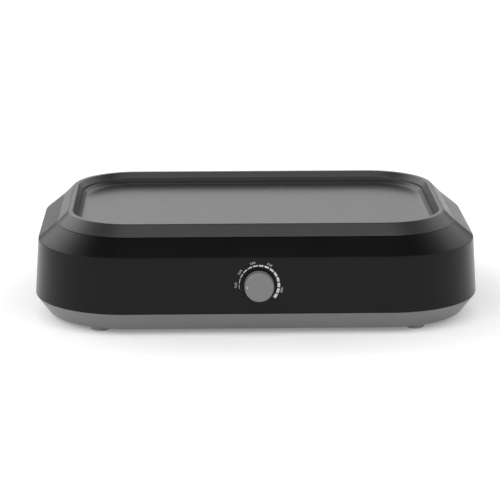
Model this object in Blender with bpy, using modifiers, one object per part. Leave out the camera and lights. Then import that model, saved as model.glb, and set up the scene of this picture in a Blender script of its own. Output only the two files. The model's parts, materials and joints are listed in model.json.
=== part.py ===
"""Electric griddle: a cast plate that lifts off a plastic casing, with a control knob on the front wall.

Metres, +Z up, the front towards -Y. The origin is on the surface that the feet stand on, under the
middle of the whole object's box. Everything is placed in the casing's own frame, the empty "casing",
whose middle lies a little behind the origin because the knob stands out further than the inlet.
"""

import math
from dataclasses import dataclass

import bmesh
import bpy
from mathutils import Matrix, Vector

MM = 0.001

# Clearances
GAP = 0.3 * MM  # between pieces that touch or rest on each other
HOLE_CLEARANCE = 0.35 * MM  # radial, round a screw, stem or stud that passes through a hole

# Casing envelope: the widest outline is the joint between the tray and the upper housing
WIDTH = 460 * MM
DEPTH = 316 * MM
FOOT_HEIGHT = 4.5 * MM
TRAY_HEIGHT = 19.3 * MM
WALL_HEIGHT = 57.1 * MM
SHOULDER_RISE = 16.65 * MM
FLANGE_RISE = 11.15 * MM
TRAY_TAPER = 13.2 * MM
WALL_DRAFT = 3.54 * MM
SHOULDER_RUN = 20.2 * MM
FLANGE_RUN = 11.3 * MM
TRAY_RADIUS = 86.9 * MM
PARTING_RADIUS = 95.5 * MM
CREASE_RADIUS = 95.2 * MM
SEAT_RADIUS = 75.7 * MM
RIM_RADIUS = 66.1 * MM
LEAST_RADIUS = 5 * MM
CORNER_SEGMENTS = 10

# Casing walls
CASING_WALL = 2.5 * MM
TONGUE_HEIGHT = 4.2 * MM
TONGUE_WALL = 2 * MM
LIP_INSET = 30.2 * MM
LIP_DEPTH = 9.5 * MM
LIP_RISE = 1.5 * MM

# Griddle plate
RIM_WIDTH = 4.5 * MM
PLATE_WALL = 3 * MM
PLATE_FLOOR = 4 * MM
WELL_DEPTH = 11.8 * MM
WELL_BEVEL = 4.9 * MM
WELL_WALL_DROP = 4 * MM
WELL_WALL_RUN = 1.5 * MM
COVE_RUN = 7.6 * MM
COVE_SEGMENTS = 4

# Casing screws, their sleeves in the tray and their bosses in the housing
FASTENER_INSET = 25 * MM
FASTENER_X = 95 * MM
SLEEVE_RADIUS = 5.5 * MM
SLEEVE_TOP = 30 * MM
BOSS_RADIUS = 5 * MM
BOSS_HEIGHT = 24 * MM
BOSS_HOLE_DEPTH = 16 * MM
WEB_THICKNESS = 2.5 * MM
COUNTERBORE_RADIUS = 3.8 * MM
COUNTERBORE_TOP = 12 * MM
SCREW_RADIUS = 1.6 * MM
SCREW_HEAD_RADIUS = 3.2 * MM
SCREW_HEAD_HEIGHT = 2 * MM
CASING_SCREW_LENGTH = 31 * MM

# Feet
FOOT_INSET_X = 69.5 * MM
FOOT_INSET_Y = 32.5 * MM
FOOT_RADIUS = 9.5 * MM
FOOT_EDGE = 1 * MM
FOOT_STEM_RADIUS = 3 * MM
FOOT_BARB_RADIUS = 3.9 * MM
FOOT_BARB_HEIGHT = 2 * MM

# Vents in the tray's floor
VENT_COUNT = 8
VENT_PITCH = 16 * MM
VENT_LENGTH = 38 * MM
VENT_WIDTH = 4 * MM
VENT_ROW_Y = 38 * MM

# Reflector pan and the posts that carry it
PAN_THICKNESS = 1 * MM
PAN_RIM_INSET = 37 * MM
PAN_FLOOR_INSET = 46 * MM
PAN_FLOOR_DROP = 17.2 * MM  # from the plate's underside to the pan's underside
PAN_HEIGHT = 14.3 * MM
POST_X = 150 * MM
POST_Y = 70 * MM
POST_RADIUS = 5 * MM
POST_HOLE_DEPTH = 14 * MM
PAN_SCREW_LENGTH = 11 * MM

# Heating element: a tube in four passes, its two ends turned down through the pan
ELEMENT_RADIUS = 3.25 * MM
ELEMENT_GAP = 0.6 * MM
ELEMENT_PASS_MARGIN = 26 * MM  # from the pan's rim to the outer passes' centre lines
ELEMENT_TURN_MARGIN = 11.5 * MM  # from the pan's rim to the outer turns' centre lines
INNER_TURN_X = 45 * MM
END_X = 14 * MM
END_BEND = 12 * MM
END_DROP = 27 * MM
TURN_SEGMENTS = 6
SEAL_LENGTH = 5 * MM
STUD_RADIUS = 1.2 * MM
STUD_LENGTH = 8 * MM
CRADLE_X = 100 * MM
CRADLE_END = 7 * MM
CRADLE_THICKNESS = 1.2 * MM
NOTCH_SEGMENTS = 8

# Temperature sensor
BULB_RADIUS = 3 * MM
BULB_LENGTH = 60 * MM
CAPILLARY_RADIUS = 1 * MM
CAPILLARY_X = 42 * MM
CAPILLARY_HOLE = 4 * MM

# Control knob and thermostat. Heights along the dial's axis are from the wall's outer face
DIAL_ABOVE_MIDDLE = 0.95 * MM
DIAL_RECESS_CLEARANCE = 1.9 * MM
DIAL_RECESS_DEPTH = 1 * MM
KNOB_BACK_GAP = 0.5 * MM
KNOB_RADIUS = 14.9 * MM
KNOB_TAPER = 0.3 * MM
KNOB_HEIGHT = 13 * MM
KNOB_EDGE = 1.6 * MM
KNOB_EDGE_SEGMENTS = 4
KNOB_WALL = 2.1 * MM
KNOB_FACE_WALL = 4 * MM
HUB_RADIUS = 5.2 * MM
HUB_START = 2.6 * MM
SHAFT_RADIUS = 3 * MM
SHAFT_IN_KNOB = 9.5 * MM
SHAFT_IN_BODY = 4.5 * MM
CLIP_RING_WALL = 0.7 * MM
CLIP_RING_HEIGHT = 3 * MM
POINTER_RADIUS = 0.9 * MM
POINTER_FROM_EDGE = 3 * MM
POINTER_DEPTH = 0.5 * MM
BUSHING_RADIUS = 4.8 * MM
BUSHING_HEIGHT = 2 * MM
COLLAR_RADIUS = 7 * MM
COLLAR_THICKNESS = 2 * MM
NUT_RADIUS = 7 * MM
NUT_THICKNESS = 2.2 * MM
BRACKET_SIZE = (44 * MM, 30 * MM)
BRACKET_THICKNESS = 1.2 * MM
THERMOSTAT_SIZE = (36 * MM, 28 * MM, 16 * MM)
TAB_SIZE = (6.3 * MM, 0.8 * MM, 8 * MM)
TAB_X = 10 * MM

# Mains inlet on the rear wall. Heights along its axis are from the wall's outer face
INLET_X = 60 * MM
INLET_BELOW_MIDDLE = 2.35 * MM
INLET_FLANGE = (50 * MM, 30 * MM, 2.2 * MM)
INLET_BODY = (34 * MM, 24 * MM, 20 * MM)
INLET_SOCKET = (27 * MM, 17 * MM, 17 * MM)
INLET_PIN = (4 * MM, 2 * MM)
INLET_PIN_STANDOFF = 3.5 * MM
INLET_PIN_TAIL = 7 * MM
INLET_PINS = {"live": (7 * MM, -3.5 * MM), "neutral": (-7 * MM, -3.5 * MM), "earth": (0, 1.2 * MM)}
INLET_SCREW_X = 20.8 * MM
INLET_SCREW_RADIUS = 1.4 * MM
INLET_SCREW_HEAD = 2.6 * MM
INLET_SCREW_HEAD_HEIGHT = 1.4 * MM
INLET_SCREW_LENGTH = 9 * MM

# Thermal fuse under the pan, and the leads
FUSE_X = -60 * MM
FUSE_Y = 60 * MM
FUSE_RADIUS = 2.2 * MM
FUSE_LENGTH = 16 * MM
CLAMP_LENGTH = 8 * MM
CLAMP_THICKNESS = 0.8 * MM
CLAMP_FOOT = 7 * MM
EARTH_X = 85 * MM
EARTH_INSET = 70 * MM
LEAD_RADIUS = 1.3 * MM
LEAD_END_GAP = 0.6 * MM
LEAD_POINTS_PER_SPAN = 4

# Heights and insets that follow from the sizes above
PARTING_Z = FOOT_HEIGHT + TRAY_HEIGHT
CREASE_Z = PARTING_Z + WALL_HEIGHT
SEAT_Z = CREASE_Z + SHOULDER_RISE
RIM_Z = SEAT_Z + FLANGE_RISE
FLOOR_Z = RIM_Z - WELL_DEPTH
PLATE_UNDERSIDE = FLOOR_Z - PLATE_FLOOR
TRAY_FLOOR = FOOT_HEIGHT + CASING_WALL
HOUSING_BASE = PARTING_Z + GAP
HOUSING_TOP = SEAT_Z - GAP
SEAT_INSET = WALL_DRAFT + SHOULDER_RUN
RIM_INSET = SEAT_INSET + FLANGE_RUN
PAN_UNDERSIDE = PLATE_UNDERSIDE - PAN_FLOOR_DROP
PAN_TOP_FACE = PAN_UNDERSIDE + PAN_THICKNESS
PASS_OUTER_Y = DEPTH / 2 - PAN_RIM_INSET - ELEMENT_PASS_MARGIN
PASS_INNER_Y = PASS_OUTER_Y / 3  # four passes, evenly spaced
TURN_RADIUS = (PASS_OUTER_Y - PASS_INNER_Y) / 2
TURN_Y = (PASS_OUTER_Y + PASS_INNER_Y) / 2
TURN_X = WIDTH / 2 - PAN_RIM_INSET - ELEMENT_TURN_MARGIN - TURN_RADIUS
BULB_Y = -TURN_Y
FOOT_X = WIDTH / 2 - FOOT_INSET_X
FOOT_Y = DEPTH / 2 - FOOT_INSET_Y
EARTH_Y = DEPTH / 2 - EARTH_INSET
ELEMENT_Z = PLATE_UNDERSIDE - ELEMENT_GAP - ELEMENT_RADIUS
ELEMENT_END_Z = ELEMENT_Z - END_DROP
BULB_Z = PLATE_UNDERSIDE - ELEMENT_GAP - BULB_RADIUS
DRAFT_ANGLE = math.atan2(WALL_DRAFT, WALL_HEIGHT)
WALL_MIDDLE_Z = PARTING_Z + WALL_HEIGHT / 2
DIAL_Z = WALL_MIDDLE_Z + DIAL_ABOVE_MIDDLE
INLET_Z = WALL_MIDDLE_Z - INLET_BELOW_MIDDLE
KNOB_FACE_RADIUS = KNOB_RADIUS - KNOB_TAPER
FUSE_Z = PAN_UNDERSIDE - GAP - FUSE_RADIUS
BODY_FRONT = -(CASING_WALL + 3 * GAP + BRACKET_THICKNESS + COLLAR_THICKNESS)
BODY_BACK = BODY_FRONT - THERMOSTAT_SIZE[2]


def wall_inset(z):
    """How far the drafted outer wall lies inside the widest outline at this height."""
    return WALL_DRAFT * (z - PARTING_Z) / WALL_HEIGHT


DIAL_Y = -(DEPTH / 2 - wall_inset(DIAL_Z))
INLET_Y = DEPTH / 2 - wall_inset(INLET_Z)
FRONT_REACH = -DIAL_Y + KNOB_HEIGHT * math.cos(DRAFT_ANGLE) + KNOB_FACE_RADIUS * math.sin(DRAFT_ANGLE)
SCREW_HEAD_TOP = INLET_FLANGE[2] + 2 * GAP + INLET_SCREW_HEAD_HEIGHT
REAR_REACH = INLET_Y + SCREW_HEAD_TOP * math.cos(DRAFT_ANGLE) + INLET_SCREW_HEAD * math.sin(DRAFT_ANGLE)
CASING_Y = (FRONT_REACH - max(REAR_REACH, DEPTH / 2)) / 2


@dataclass(frozen=True)
class Level:
    """A rounded rectangle round the casing's middle, at an inset from the widest outline and a height."""

    inset: float
    z: float
    radius: float

    def moved(self, inwards, z):
        """The outline this far inside this one, at another height, with its corners still parallel."""
        return Level(self.inset + inwards, z, self.radius - inwards)

    def points(self):
        """The outline's points, anticlockwise from above, with each corner as an arc."""
        half_x, half_y = WIDTH / 2 - self.inset, DEPTH / 2 - self.inset
        radius = min(max(self.radius, LEAST_RADIUS), half_y)
        found = []
        for corner, (side_x, side_y) in enumerate(((1, 1), (-1, 1), (-1, -1), (1, -1))):
            for step in range(CORNER_SEGMENTS + 1):
                angle = math.radians(90) * (corner + step / CORNER_SEGMENTS)
                x = side_x * (half_x - radius) + radius * math.cos(angle)
                y = side_y * (half_y - radius) + radius * math.sin(angle)
                found.append(Vector((x, y, self.z)))
        return found


PARTING = Level(0, PARTING_Z, PARTING_RADIUS)
CREASE = Level(WALL_DRAFT, CREASE_Z, CREASE_RADIUS)
SEAT = Level(SEAT_INSET, SEAT_Z, SEAT_RADIUS)
RIM = Level(RIM_INSET, RIM_Z, RIM_RADIUS)
TRAY_EDGE = Level(TRAY_TAPER, FOOT_HEIGHT, TRAY_RADIUS)


# ---------------------------------------------------------------- scene, materials and tools


def clear_scene():
    for old in list(bpy.data.objects):
        bpy.data.objects.remove(old)


def new_collection(name):
    made = bpy.data.collections.new(name)
    bpy.context.scene.collection.children.link(made)
    return made


def material(name, colour, roughness, metallic=0.0):
    """A plain material. The colour is linear red, green and blue."""
    made = bpy.data.materials.new(name)
    made.use_nodes = True
    shader = made.node_tree.nodes["Principled BSDF"]
    shader.inputs["Base Color"].default_value = (*colour, 1)
    shader.inputs["Roughness"].default_value = roughness
    shader.inputs["Metallic"].default_value = metallic
    return made


clear_scene()
PARTS = new_collection("electric_griddle")
CUTTERS = new_collection("cutters")
NON_STICK = material("non_stick_coating", (0.020, 0.020, 0.021), 0.35)
BLACK_PLASTIC = material("black_polypropylene", (0.012, 0.012, 0.013), 0.45)
GREY_PLASTIC = material("grey_polypropylene", (0.150, 0.150, 0.152), 0.5)
KNOB_PLASTIC = material("grey_abs", (0.215, 0.215, 0.218), 0.5)
POINTER_PLASTIC = material("pale_inlay", (0.500, 0.500, 0.500), 0.6)
RUBBER = material("grey_silicone_rubber", (0.120, 0.120, 0.122), 0.8)
SHEET_STEEL = material("aluminised_steel", (0.560, 0.570, 0.580), 0.3, 1)
ELEMENT_STEEL = material("element_sheath", (0.180, 0.175, 0.170), 0.45, 1)
BRIGHT_STEEL = material("zinc_plated_steel", (0.600, 0.600, 0.610), 0.3, 1)
BRASS = material("brass", (0.660, 0.480, 0.220), 0.35, 1)
CERAMIC = material("ceramic", (0.700, 0.680, 0.620), 0.6)
PHENOLIC = material("brown_phenolic", (0.060, 0.030, 0.018), 0.5)
INLET_PLASTIC = material("black_nylon", (0.015, 0.015, 0.016), 0.5)
FUSE_SLEEVE = material("fuse_sleeve", (0.720, 0.700, 0.640), 0.7)
LEAD_COLOURS = {
    "live": material("brown_lead", (0.120, 0.045, 0.020), 0.6),
    "neutral": material("blue_lead", (0.020, 0.060, 0.240), 0.6),
    "earth": material("green_lead", (0.040, 0.220, 0.050), 0.6),
    "switched": material("white_lead", (0.600, 0.600, 0.580), 0.6),
}


def add_empty(name, location, turn=(0, 0, 0), parent=None):
    empty = bpy.data.objects.new(name, None)
    empty.location = location
    empty.rotation_euler = turn
    empty.parent = parent
    PARTS.objects.link(empty)
    return empty


def add_object(name, data, finish, parent, location=(0, 0, 0), turn=(0, 0, 0)):
    """A part if it has a finish. With none it is a cutter or another helper of a Boolean."""
    made = bpy.data.objects.new(name, data)
    made.location = location
    made.rotation_euler = turn
    made.parent = parent
    if finish:
        data.materials.append(finish)
        PARTS.objects.link(made)
    else:
        made.hide_render = True
        made.display_type = "WIRE"
        CUTTERS.objects.link(made)
    return made


def mesh_from(name, bm):
    mesh = bpy.data.meshes.new(name)
    bm.to_mesh(mesh)
    bm.free()
    return mesh


def boxes(name, size, places, finish, parent, turn=(0, 0, 0), location=(0, 0, 0)):
    """One or more equal boxes in one mesh, each with its middle at its own place."""
    bm = bmesh.new()
    for place in places:
        matrix = Matrix.Translation(place) @ Matrix.Diagonal((*size, 1))
        bmesh.ops.create_cube(bm, size=1, matrix=matrix)
    return add_object(name, mesh_from(name, bm), finish, parent, location, turn)


def box(name, size, place, finish, parent):
    return boxes(name, size, [Vector(place)], finish, parent)


def rods(name, radius, length, places, finish, parent, sides=20):
    """Equal upright cylinders in one mesh, each standing on its own place."""
    bm = bmesh.new()
    for place in places:
        middle = Matrix.Translation(Vector(place) + Vector((0, 0, length / 2)))
        bmesh.ops.create_cone(
            bm, cap_ends=True, segments=sides, radius1=radius, radius2=radius, depth=length, matrix=middle
        )
    made = add_object(name, mesh_from(name, bm), finish, parent)
    shade_round(made)
    return made


def rod(name, radius, length, place, finish, parent, sides=20):
    return rods(name, radius, length, [place], finish, parent, sides)


def shade_round(made):
    made.data.shade_smooth()
    made.data.set_sharp_from_angle(angle=math.radians(35))


def turned(name, profile, finish, parent, place=(0, 0, 0), turn=(0, 0, 0), steps=24):
    """A profile of (radius, height) points that runs down the outer side, turned about the local Z axis."""
    bm = bmesh.new()
    spots = [bm.verts.new((radius, 0, height)) for radius, height in profile]
    closed = profile[0][0] > 0 and profile[-1][0] > 0
    for first, second in zip(spots, spots[1:] + spots[:1] if closed else spots[1:]):
        bm.edges.new((first, second))
    made = add_object(name, mesh_from(name, bm), finish, parent, place, turn)
    screw = made.modifiers.new("Turn", "SCREW")
    screw.axis = "Z"
    screw.steps = screw.render_steps = steps
    screw.use_merge_vertices = True
    screw.merge_threshold = 0.00001
    screw.use_smooth_shade = False
    return made


def tube(name, points, radius, finish, parent):
    """A round tube or lead along these points."""
    curve = bpy.data.curves.new(name, "CURVE")
    curve.dimensions = "3D"
    curve.bevel_depth = radius
    curve.bevel_resolution = 2
    curve.use_fill_caps = True
    spline = curve.splines.new("POLY")
    spline.points.add(len(points) - 1)
    for spot, point in zip(spline.points, points):
        spot.co = (*point, 1)
    return add_object(name, curve, finish, parent)


def flat_piece(name, outline, thickness, finish, parent, place, turn):
    """A flat outline in the local XY plane, filled and given a thickness about that plane."""
    curve = bpy.data.curves.new(name, "CURVE")
    curve.dimensions = "2D"
    curve.fill_mode = "BOTH"
    curve.extrude = thickness / 2
    spline = curve.splines.new("POLY")
    spline.points.add(len(outline) - 1)
    for spot, (x, y) in zip(spline.points, outline):
        spot.co = (x, y, 0, 1)
    spline.use_cyclic_u = True
    return add_object(name, curve, finish, parent, place, turn)


def loft(name, levels, finish, parent, capped):
    """A skin through outlines of different corner radii. Its ends are capped, or it closes on itself."""
    bm = bmesh.new()
    rings = [[bm.verts.new(point) for point in level.points()] for level in levels]
    following = rings[1:] if capped else rings[1:] + rings[:1]
    for ring, other in zip(rings, following):
        for i in range(len(ring)):
            j = (i + 1) % len(ring)
            bm.faces.new((ring[i], ring[j], other[j], other[i]))
    if capped:
        bm.faces.new(rings[0])
        bm.faces.new(rings[-1])
    bmesh.ops.recalc_face_normals(bm, faces=bm.faces)
    made = add_object(name, mesh_from(name, bm), finish, parent)
    shade_round(made)
    return made


def combine(target, operation, *helpers):
    for helper in helpers:
        step = target.modifiers.new(helper.name, "BOOLEAN")
        step.operation = operation
        step.object = helper


def arc(centre, radius, start, end, segments):
    """Points on an arc in a plane, from one angle in degrees to another."""
    angles = (math.radians(start + (end - start) * i / segments) for i in range(segments + 1))
    return [(centre[0] + radius * math.cos(a), centre[1] + radius * math.sin(a)) for a in angles]


def smooth_route(points):
    """Points along a smooth curve that passes through each point of a route."""
    spots = [Vector(point) for point in points]
    padded = [2 * spots[0] - spots[1], *spots, 2 * spots[-1] - spots[-2]]
    found = [spots[0]]
    for before, start, end, after in zip(padded, padded[1:], padded[2:], padded[3:]):
        for step in range(1, LEAD_POINTS_PER_SPAN + 1):
            t = step / LEAD_POINTS_PER_SPAN
            found.append(
                (
                    2 * start
                    + (end - before) * t
                    + (2 * before - 5 * start + 4 * end - after) * t**2
                    + (3 * start - before - 3 * end + after) * t**3
                )
                / 2
            )
    return found


def screw(name, radius, head_radius, head_height, length, parent, place, turn=(0, 0, 0)):
    """A pan-head screw whose head's seat is at its place and whose shank points along local -Z."""
    profile = [
        (0, head_height),
        (head_radius * 0.8, head_height),
        (head_radius, head_height * 0.5),
        (head_radius, 0),
        (radius, 0),
        (radius, -length),
        (0, -length),
    ]
    return turned(name, profile, BRIGHT_STEEL, parent, place, turn, steps=12)


# ---------------------------------------------------------------- casing


def fastener_places():
    """Where the casing screws stand, by name."""
    y = DEPTH / 2 - FASTENER_INSET
    x = WIDTH / 2 - FASTENER_INSET
    return {
        "front_left": (-FASTENER_X, -y),
        "front_right": (FASTENER_X, -y),
        "rear_left": (-FASTENER_X, y),
        "rear_right": (FASTENER_X, y),
        "side_left": (-x, 0),
        "side_right": (x, 0),
    }


def corner_places(x, y):
    """Four mirrored places, by name."""
    return {
        "front_left": (-x, -y),
        "front_right": (x, -y),
        "rear_left": (-x, y),
        "rear_right": (x, y),
    }


def build_tray(casing):
    """The grey lower tray, with screw sleeves, posts for the reflector pan, foot holes and vents."""
    tongue_top = PARTING_Z + TONGUE_HEIGHT
    tongue = PARTING.moved(CASING_WALL + 2 * GAP, tongue_top)
    levels = [
        TRAY_EDGE,
        PARTING,
        tongue.moved(0, PARTING_Z),
        tongue,
        tongue.moved(TONGUE_WALL, tongue_top),
        tongue.moved(TONGUE_WALL, PARTING_Z - CASING_WALL / 2),
        TRAY_EDGE.moved(CASING_WALL, TRAY_FLOOR),
    ]
    tray = loft("base_tray", levels, GREY_PLASTIC, casing, capped=True)
    root = FOOT_HEIGHT + CASING_WALL / 2
    sleeve_places = [(x, y, root) for x, y in fastener_places().values()]
    post_places = [(x, y, root) for x, y in corner_places(POST_X, POST_Y).values()]
    post_top = PAN_UNDERSIDE - GAP
    sleeves = rods("tray_sleeves", SLEEVE_RADIUS, SLEEVE_TOP - root, sleeve_places, None, casing)
    posts = rods("tray_posts", POST_RADIUS, post_top - root, post_places, None, casing)
    counterbores = rods(
        "sleeve_counterbores",
        COUNTERBORE_RADIUS,
        COUNTERBORE_TOP,
        [(x, y, 0) for x, y in fastener_places().values()],
        None,
        casing,
    )
    hole = SCREW_RADIUS + HOLE_CLEARANCE
    screw_holes = rods(
        "sleeve_holes",
        hole,
        SLEEVE_TOP,
        [(x, y, FOOT_HEIGHT) for x, y in fastener_places().values()],
        None,
        casing,
        sides=12,
    )
    post_holes = rods(
        "post_holes",
        hole,
        2 * POST_HOLE_DEPTH,
        [(x, y, post_top - POST_HOLE_DEPTH) for x, y in corner_places(POST_X, POST_Y).values()],
        None,
        casing,
        sides=12,
    )
    foot_holes = rods(
        "foot_holes",
        FOOT_STEM_RADIUS + HOLE_CLEARANCE,
        2 * CASING_WALL,
        [(x, y, root - CASING_WALL) for x, y in corner_places(FOOT_X, FOOT_Y).values()],
        None,
        casing,
        sides=16,
    )
    half_row = (VENT_COUNT - 1) / 2
    vent_places = [
        Vector(((i - half_row) * VENT_PITCH, side * VENT_ROW_Y, root))
        for i in range(VENT_COUNT)
        for side in (-1, 1)
    ]
    vents = boxes("tray_vents", (VENT_WIDTH, VENT_LENGTH, 3 * CASING_WALL), vent_places, None, casing)
    combine(tray, "UNION", sleeves, posts)
    combine(tray, "DIFFERENCE", counterbores, screw_holes, post_holes, foot_holes, vents)


def build_housing(casing, dial, inlet):
    """The black upper housing: a drafted wall, a sloping shoulder and the ledge that the plate sits on."""
    lip = SEAT.moved(LIP_INSET - SEAT_INSET, HOUSING_TOP)
    lip_top = HOUSING_TOP + LIP_RISE
    lip_foot = HOUSING_TOP - LIP_DEPTH
    levels = [
        PARTING.moved(0, HOUSING_BASE),
        CREASE,
        SEAT.moved(0, HOUSING_TOP),
        lip,
        lip.moved(0, lip_top),
        lip.moved(CASING_WALL, lip_top),
        lip.moved(CASING_WALL, lip_foot),
        lip.moved(0, lip_foot),
        lip.moved(0, HOUSING_TOP - CASING_WALL),
        SEAT.moved(CASING_WALL / 3, HOUSING_TOP - CASING_WALL),
        CREASE.moved(CASING_WALL, CREASE_Z - CASING_WALL / 2),
        PARTING.moved(CASING_WALL, HOUSING_BASE),
    ]
    housing = loft("upper_housing", levels, BLACK_PLASTIC, casing, capped=False)
    base = SLEEVE_TOP + GAP
    places = fastener_places()
    bosses = rods(
        "housing_bosses",
        BOSS_RADIUS,
        BOSS_HEIGHT,
        [(x, y, base) for x, y in places.values()],
        None,
        casing,
    )
    boss_holes = rods(
        "boss_holes",
        SCREW_RADIUS + HOLE_CLEARANCE,
        2 * BOSS_HOLE_DEPTH,
        [(x, y, base - BOSS_HOLE_DEPTH) for x, y in places.values()],
        None,
        casing,
        sides=12,
    )
    middle_z = base + BOSS_HEIGHT / 2
    web_length = FASTENER_INSET - wall_inset(middle_z) - CASING_WALL / 2
    end_webs = [
        Vector((x, math.copysign(abs(y) + web_length / 2, y), middle_z))
        for x, y in places.values()
        if y
    ]
    side_webs = [
        Vector((math.copysign(abs(x) + web_length / 2, x), y, middle_z))
        for x, y in places.values()
        if not y
    ]
    webs = boxes("end_webs", (WEB_THICKNESS, web_length, BOSS_HEIGHT), end_webs, None, casing)
    more_webs = boxes("side_webs", (web_length, WEB_THICKNESS, BOSS_HEIGHT), side_webs, None, casing)
    recess_floor = (0, 0, -DIAL_RECESS_DEPTH)
    recess_radius = KNOB_RADIUS + DIAL_RECESS_CLEARANCE
    recess = rod("dial_recess", recess_radius, KNOB_HEIGHT, recess_floor, None, dial, 40)
    through_wall = 4 * CASING_WALL
    hole_start = (0, 0, -through_wall / 2)
    dial_hole = rod("dial_hole", BUSHING_RADIUS + HOLE_CLEARANCE, through_wall, hole_start, None, dial)
    cut = (INLET_BODY[0] + 2 * GAP, INLET_BODY[1] + 2 * GAP, through_wall)
    inlet_cut = box("inlet_cut", cut, (0, 0, 0), None, inlet)
    inlet_holes = rods(
        "inlet_screw_holes",
        INLET_SCREW_RADIUS + HOLE_CLEARANCE,
        through_wall,
        [(side * INLET_SCREW_X, 0, -through_wall / 2) for side in (-1, 1)],
        None,
        inlet,
        sides=12,
    )
    combine(housing, "UNION", bosses, webs, more_webs)
    combine(housing, "DIFFERENCE", boss_holes, recess, dial_hole, inlet_cut, inlet_holes)


def build_casing_screws(casing):
    for name, (x, y) in fastener_places().items():
        seat = (x, y, COUNTERBORE_TOP - GAP)
        screw(
            f"casing_screw_{name}",
            SCREW_RADIUS,
            SCREW_HEAD_RADIUS,
            SCREW_HEAD_HEIGHT,
            CASING_SCREW_LENGTH,
            casing,
            seat,
            (math.pi, 0, 0),
        )


def build_feet(casing):
    """Rubber feet with a barbed stem that snaps into the tray's floor."""
    disc_top = FOOT_HEIGHT - GAP
    barb = TRAY_FLOOR + GAP
    profile = [
        (0, barb + FOOT_BARB_HEIGHT),
        (FOOT_STEM_RADIUS / 2, barb + FOOT_BARB_HEIGHT),
        (FOOT_BARB_RADIUS, barb),
        (FOOT_STEM_RADIUS, barb),
        (FOOT_STEM_RADIUS, disc_top),
        (FOOT_RADIUS - FOOT_EDGE / 2, disc_top),
        (FOOT_RADIUS, disc_top - FOOT_EDGE / 2),
        (FOOT_RADIUS, FOOT_EDGE),
        (FOOT_RADIUS - FOOT_EDGE, 0),
        (0, 0),
    ]
    for name, (x, y) in corner_places(FOOT_X, FOOT_Y).items():
        turned(f"foot_{name}", profile, RUBBER, casing, (x, y, 0), steps=20)


# ---------------------------------------------------------------- plate


def build_plate(casing):
    """The cast plate: a sloping flange, a narrow flat rim and a shallow well with a coved foot."""
    rim_inner = RIM.moved(RIM_WIDTH, RIM_Z)
    bevel_foot = rim_inner.moved(WELL_BEVEL, RIM_Z - WELL_BEVEL)
    wall_foot = bevel_foot.moved(WELL_WALL_RUN, bevel_foot.z - WELL_WALL_DROP)
    cove_drop = wall_foot.z - FLOOR_Z
    quarter_turns = [math.radians(90) * i / COVE_SEGMENTS for i in range(1, COVE_SEGMENTS + 1)]
    cove = [
        wall_foot.moved(COVE_RUN * (1 - math.cos(a)), wall_foot.z - cove_drop * math.sin(a))
        for a in quarter_turns
    ]
    flange_foot = PLATE_WALL * math.hypot(FLANGE_RUN, FLANGE_RISE) / FLANGE_RISE
    under_rim = RIM_Z - PLATE_WALL
    flange_run = (under_rim - SEAT_Z) * FLANGE_RUN / FLANGE_RISE
    levels = [
        SEAT,
        RIM,
        rim_inner,
        bevel_foot,
        wall_foot,
        *cove,
        wall_foot.moved(PLATE_WALL / 2, PLATE_UNDERSIDE),
        wall_foot.moved(-PLATE_WALL, FLOOR_Z),
        bevel_foot.moved(-PLATE_WALL, bevel_foot.z - PLATE_WALL / 2),
        rim_inner.moved(-PLATE_WALL / 2, under_rim),
        SEAT.moved(flange_foot + flange_run, under_rim),
        SEAT.moved(flange_foot, SEAT_Z),
    ]
    top, underside = levels[: 5 + COVE_SEGMENTS], levels[5 + COVE_SEGMENTS :]
    loft("griddle_plate", [*reversed(top), *reversed(underside)], NON_STICK, casing, capped=True)


# ---------------------------------------------------------------- heater


def build_pan(casing):
    """The reflector pan under the element, with holes for the element's ends, the sensor tube and screws."""
    top = PAN_UNDERSIDE + PAN_HEIGHT
    rim = RIM.moved(PAN_RIM_INSET - RIM_INSET, top)
    floor = RIM.moved(PAN_FLOOR_INSET - RIM_INSET, PAN_UNDERSIDE)
    levels = [floor, rim, rim.moved(PAN_THICKNESS, top), floor.moved(PAN_THICKNESS / 2, PAN_TOP_FACE)]
    pan = loft("reflector_pan", levels, SHEET_STEEL, casing, capped=True)
    low = PAN_UNDERSIDE - PAN_THICKNESS
    depth = 3 * PAN_THICKNESS
    ends = [(side * END_X, PASS_OUTER_Y, low) for side in (-1, 1)]
    screws = [(x, y, low) for x, y in corner_places(POST_X, POST_Y).values()]
    end_holes = rods("element_end_holes", ELEMENT_RADIUS + 4 * HOLE_CLEARANCE, depth, ends, None, casing, 16)
    screw_holes = rods("pan_screw_holes", SCREW_RADIUS + HOLE_CLEARANCE, depth, screws, None, casing, 12)
    sensor_hole = rod("sensor_hole", CAPILLARY_HOLE, depth, (CAPILLARY_X, BULB_Y, low), None, casing, 16)
    combine(pan, "DIFFERENCE", end_holes, screw_holes, sensor_hole)
    for name, (x, y) in corner_places(POST_X, POST_Y).items():
        seat = (x, y, PAN_TOP_FACE + GAP)
        screw(
            f"pan_screw_{name}",
            SCREW_RADIUS,
            SCREW_HEAD_RADIUS,
            SCREW_HEAD_HEIGHT,
            PAN_SCREW_LENGTH,
            casing,
            seat,
        )


def element_half():
    """The left half of the element's centre line, from its turned-down end to the front pass."""
    bend_centre = (-END_X - END_BEND, ELEMENT_Z - END_BEND)
    bend = [(x, PASS_OUTER_Y, z) for x, z in arc(bend_centre, END_BEND, 0, 90, TURN_SEGMENTS)]
    loops = [
        *arc((-TURN_X, TURN_Y), TURN_RADIUS, 90, 270, TURN_SEGMENTS),
        *arc((-INNER_TURN_X, 0), PASS_INNER_Y, 90, -90, TURN_SEGMENTS),
        *arc((-TURN_X, -TURN_Y), TURN_RADIUS, 90, 270, TURN_SEGMENTS),
    ]
    return [(-END_X, PASS_OUTER_Y, ELEMENT_END_Z), *bend, *((x, y, ELEMENT_Z) for x, y in loops)]


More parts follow.
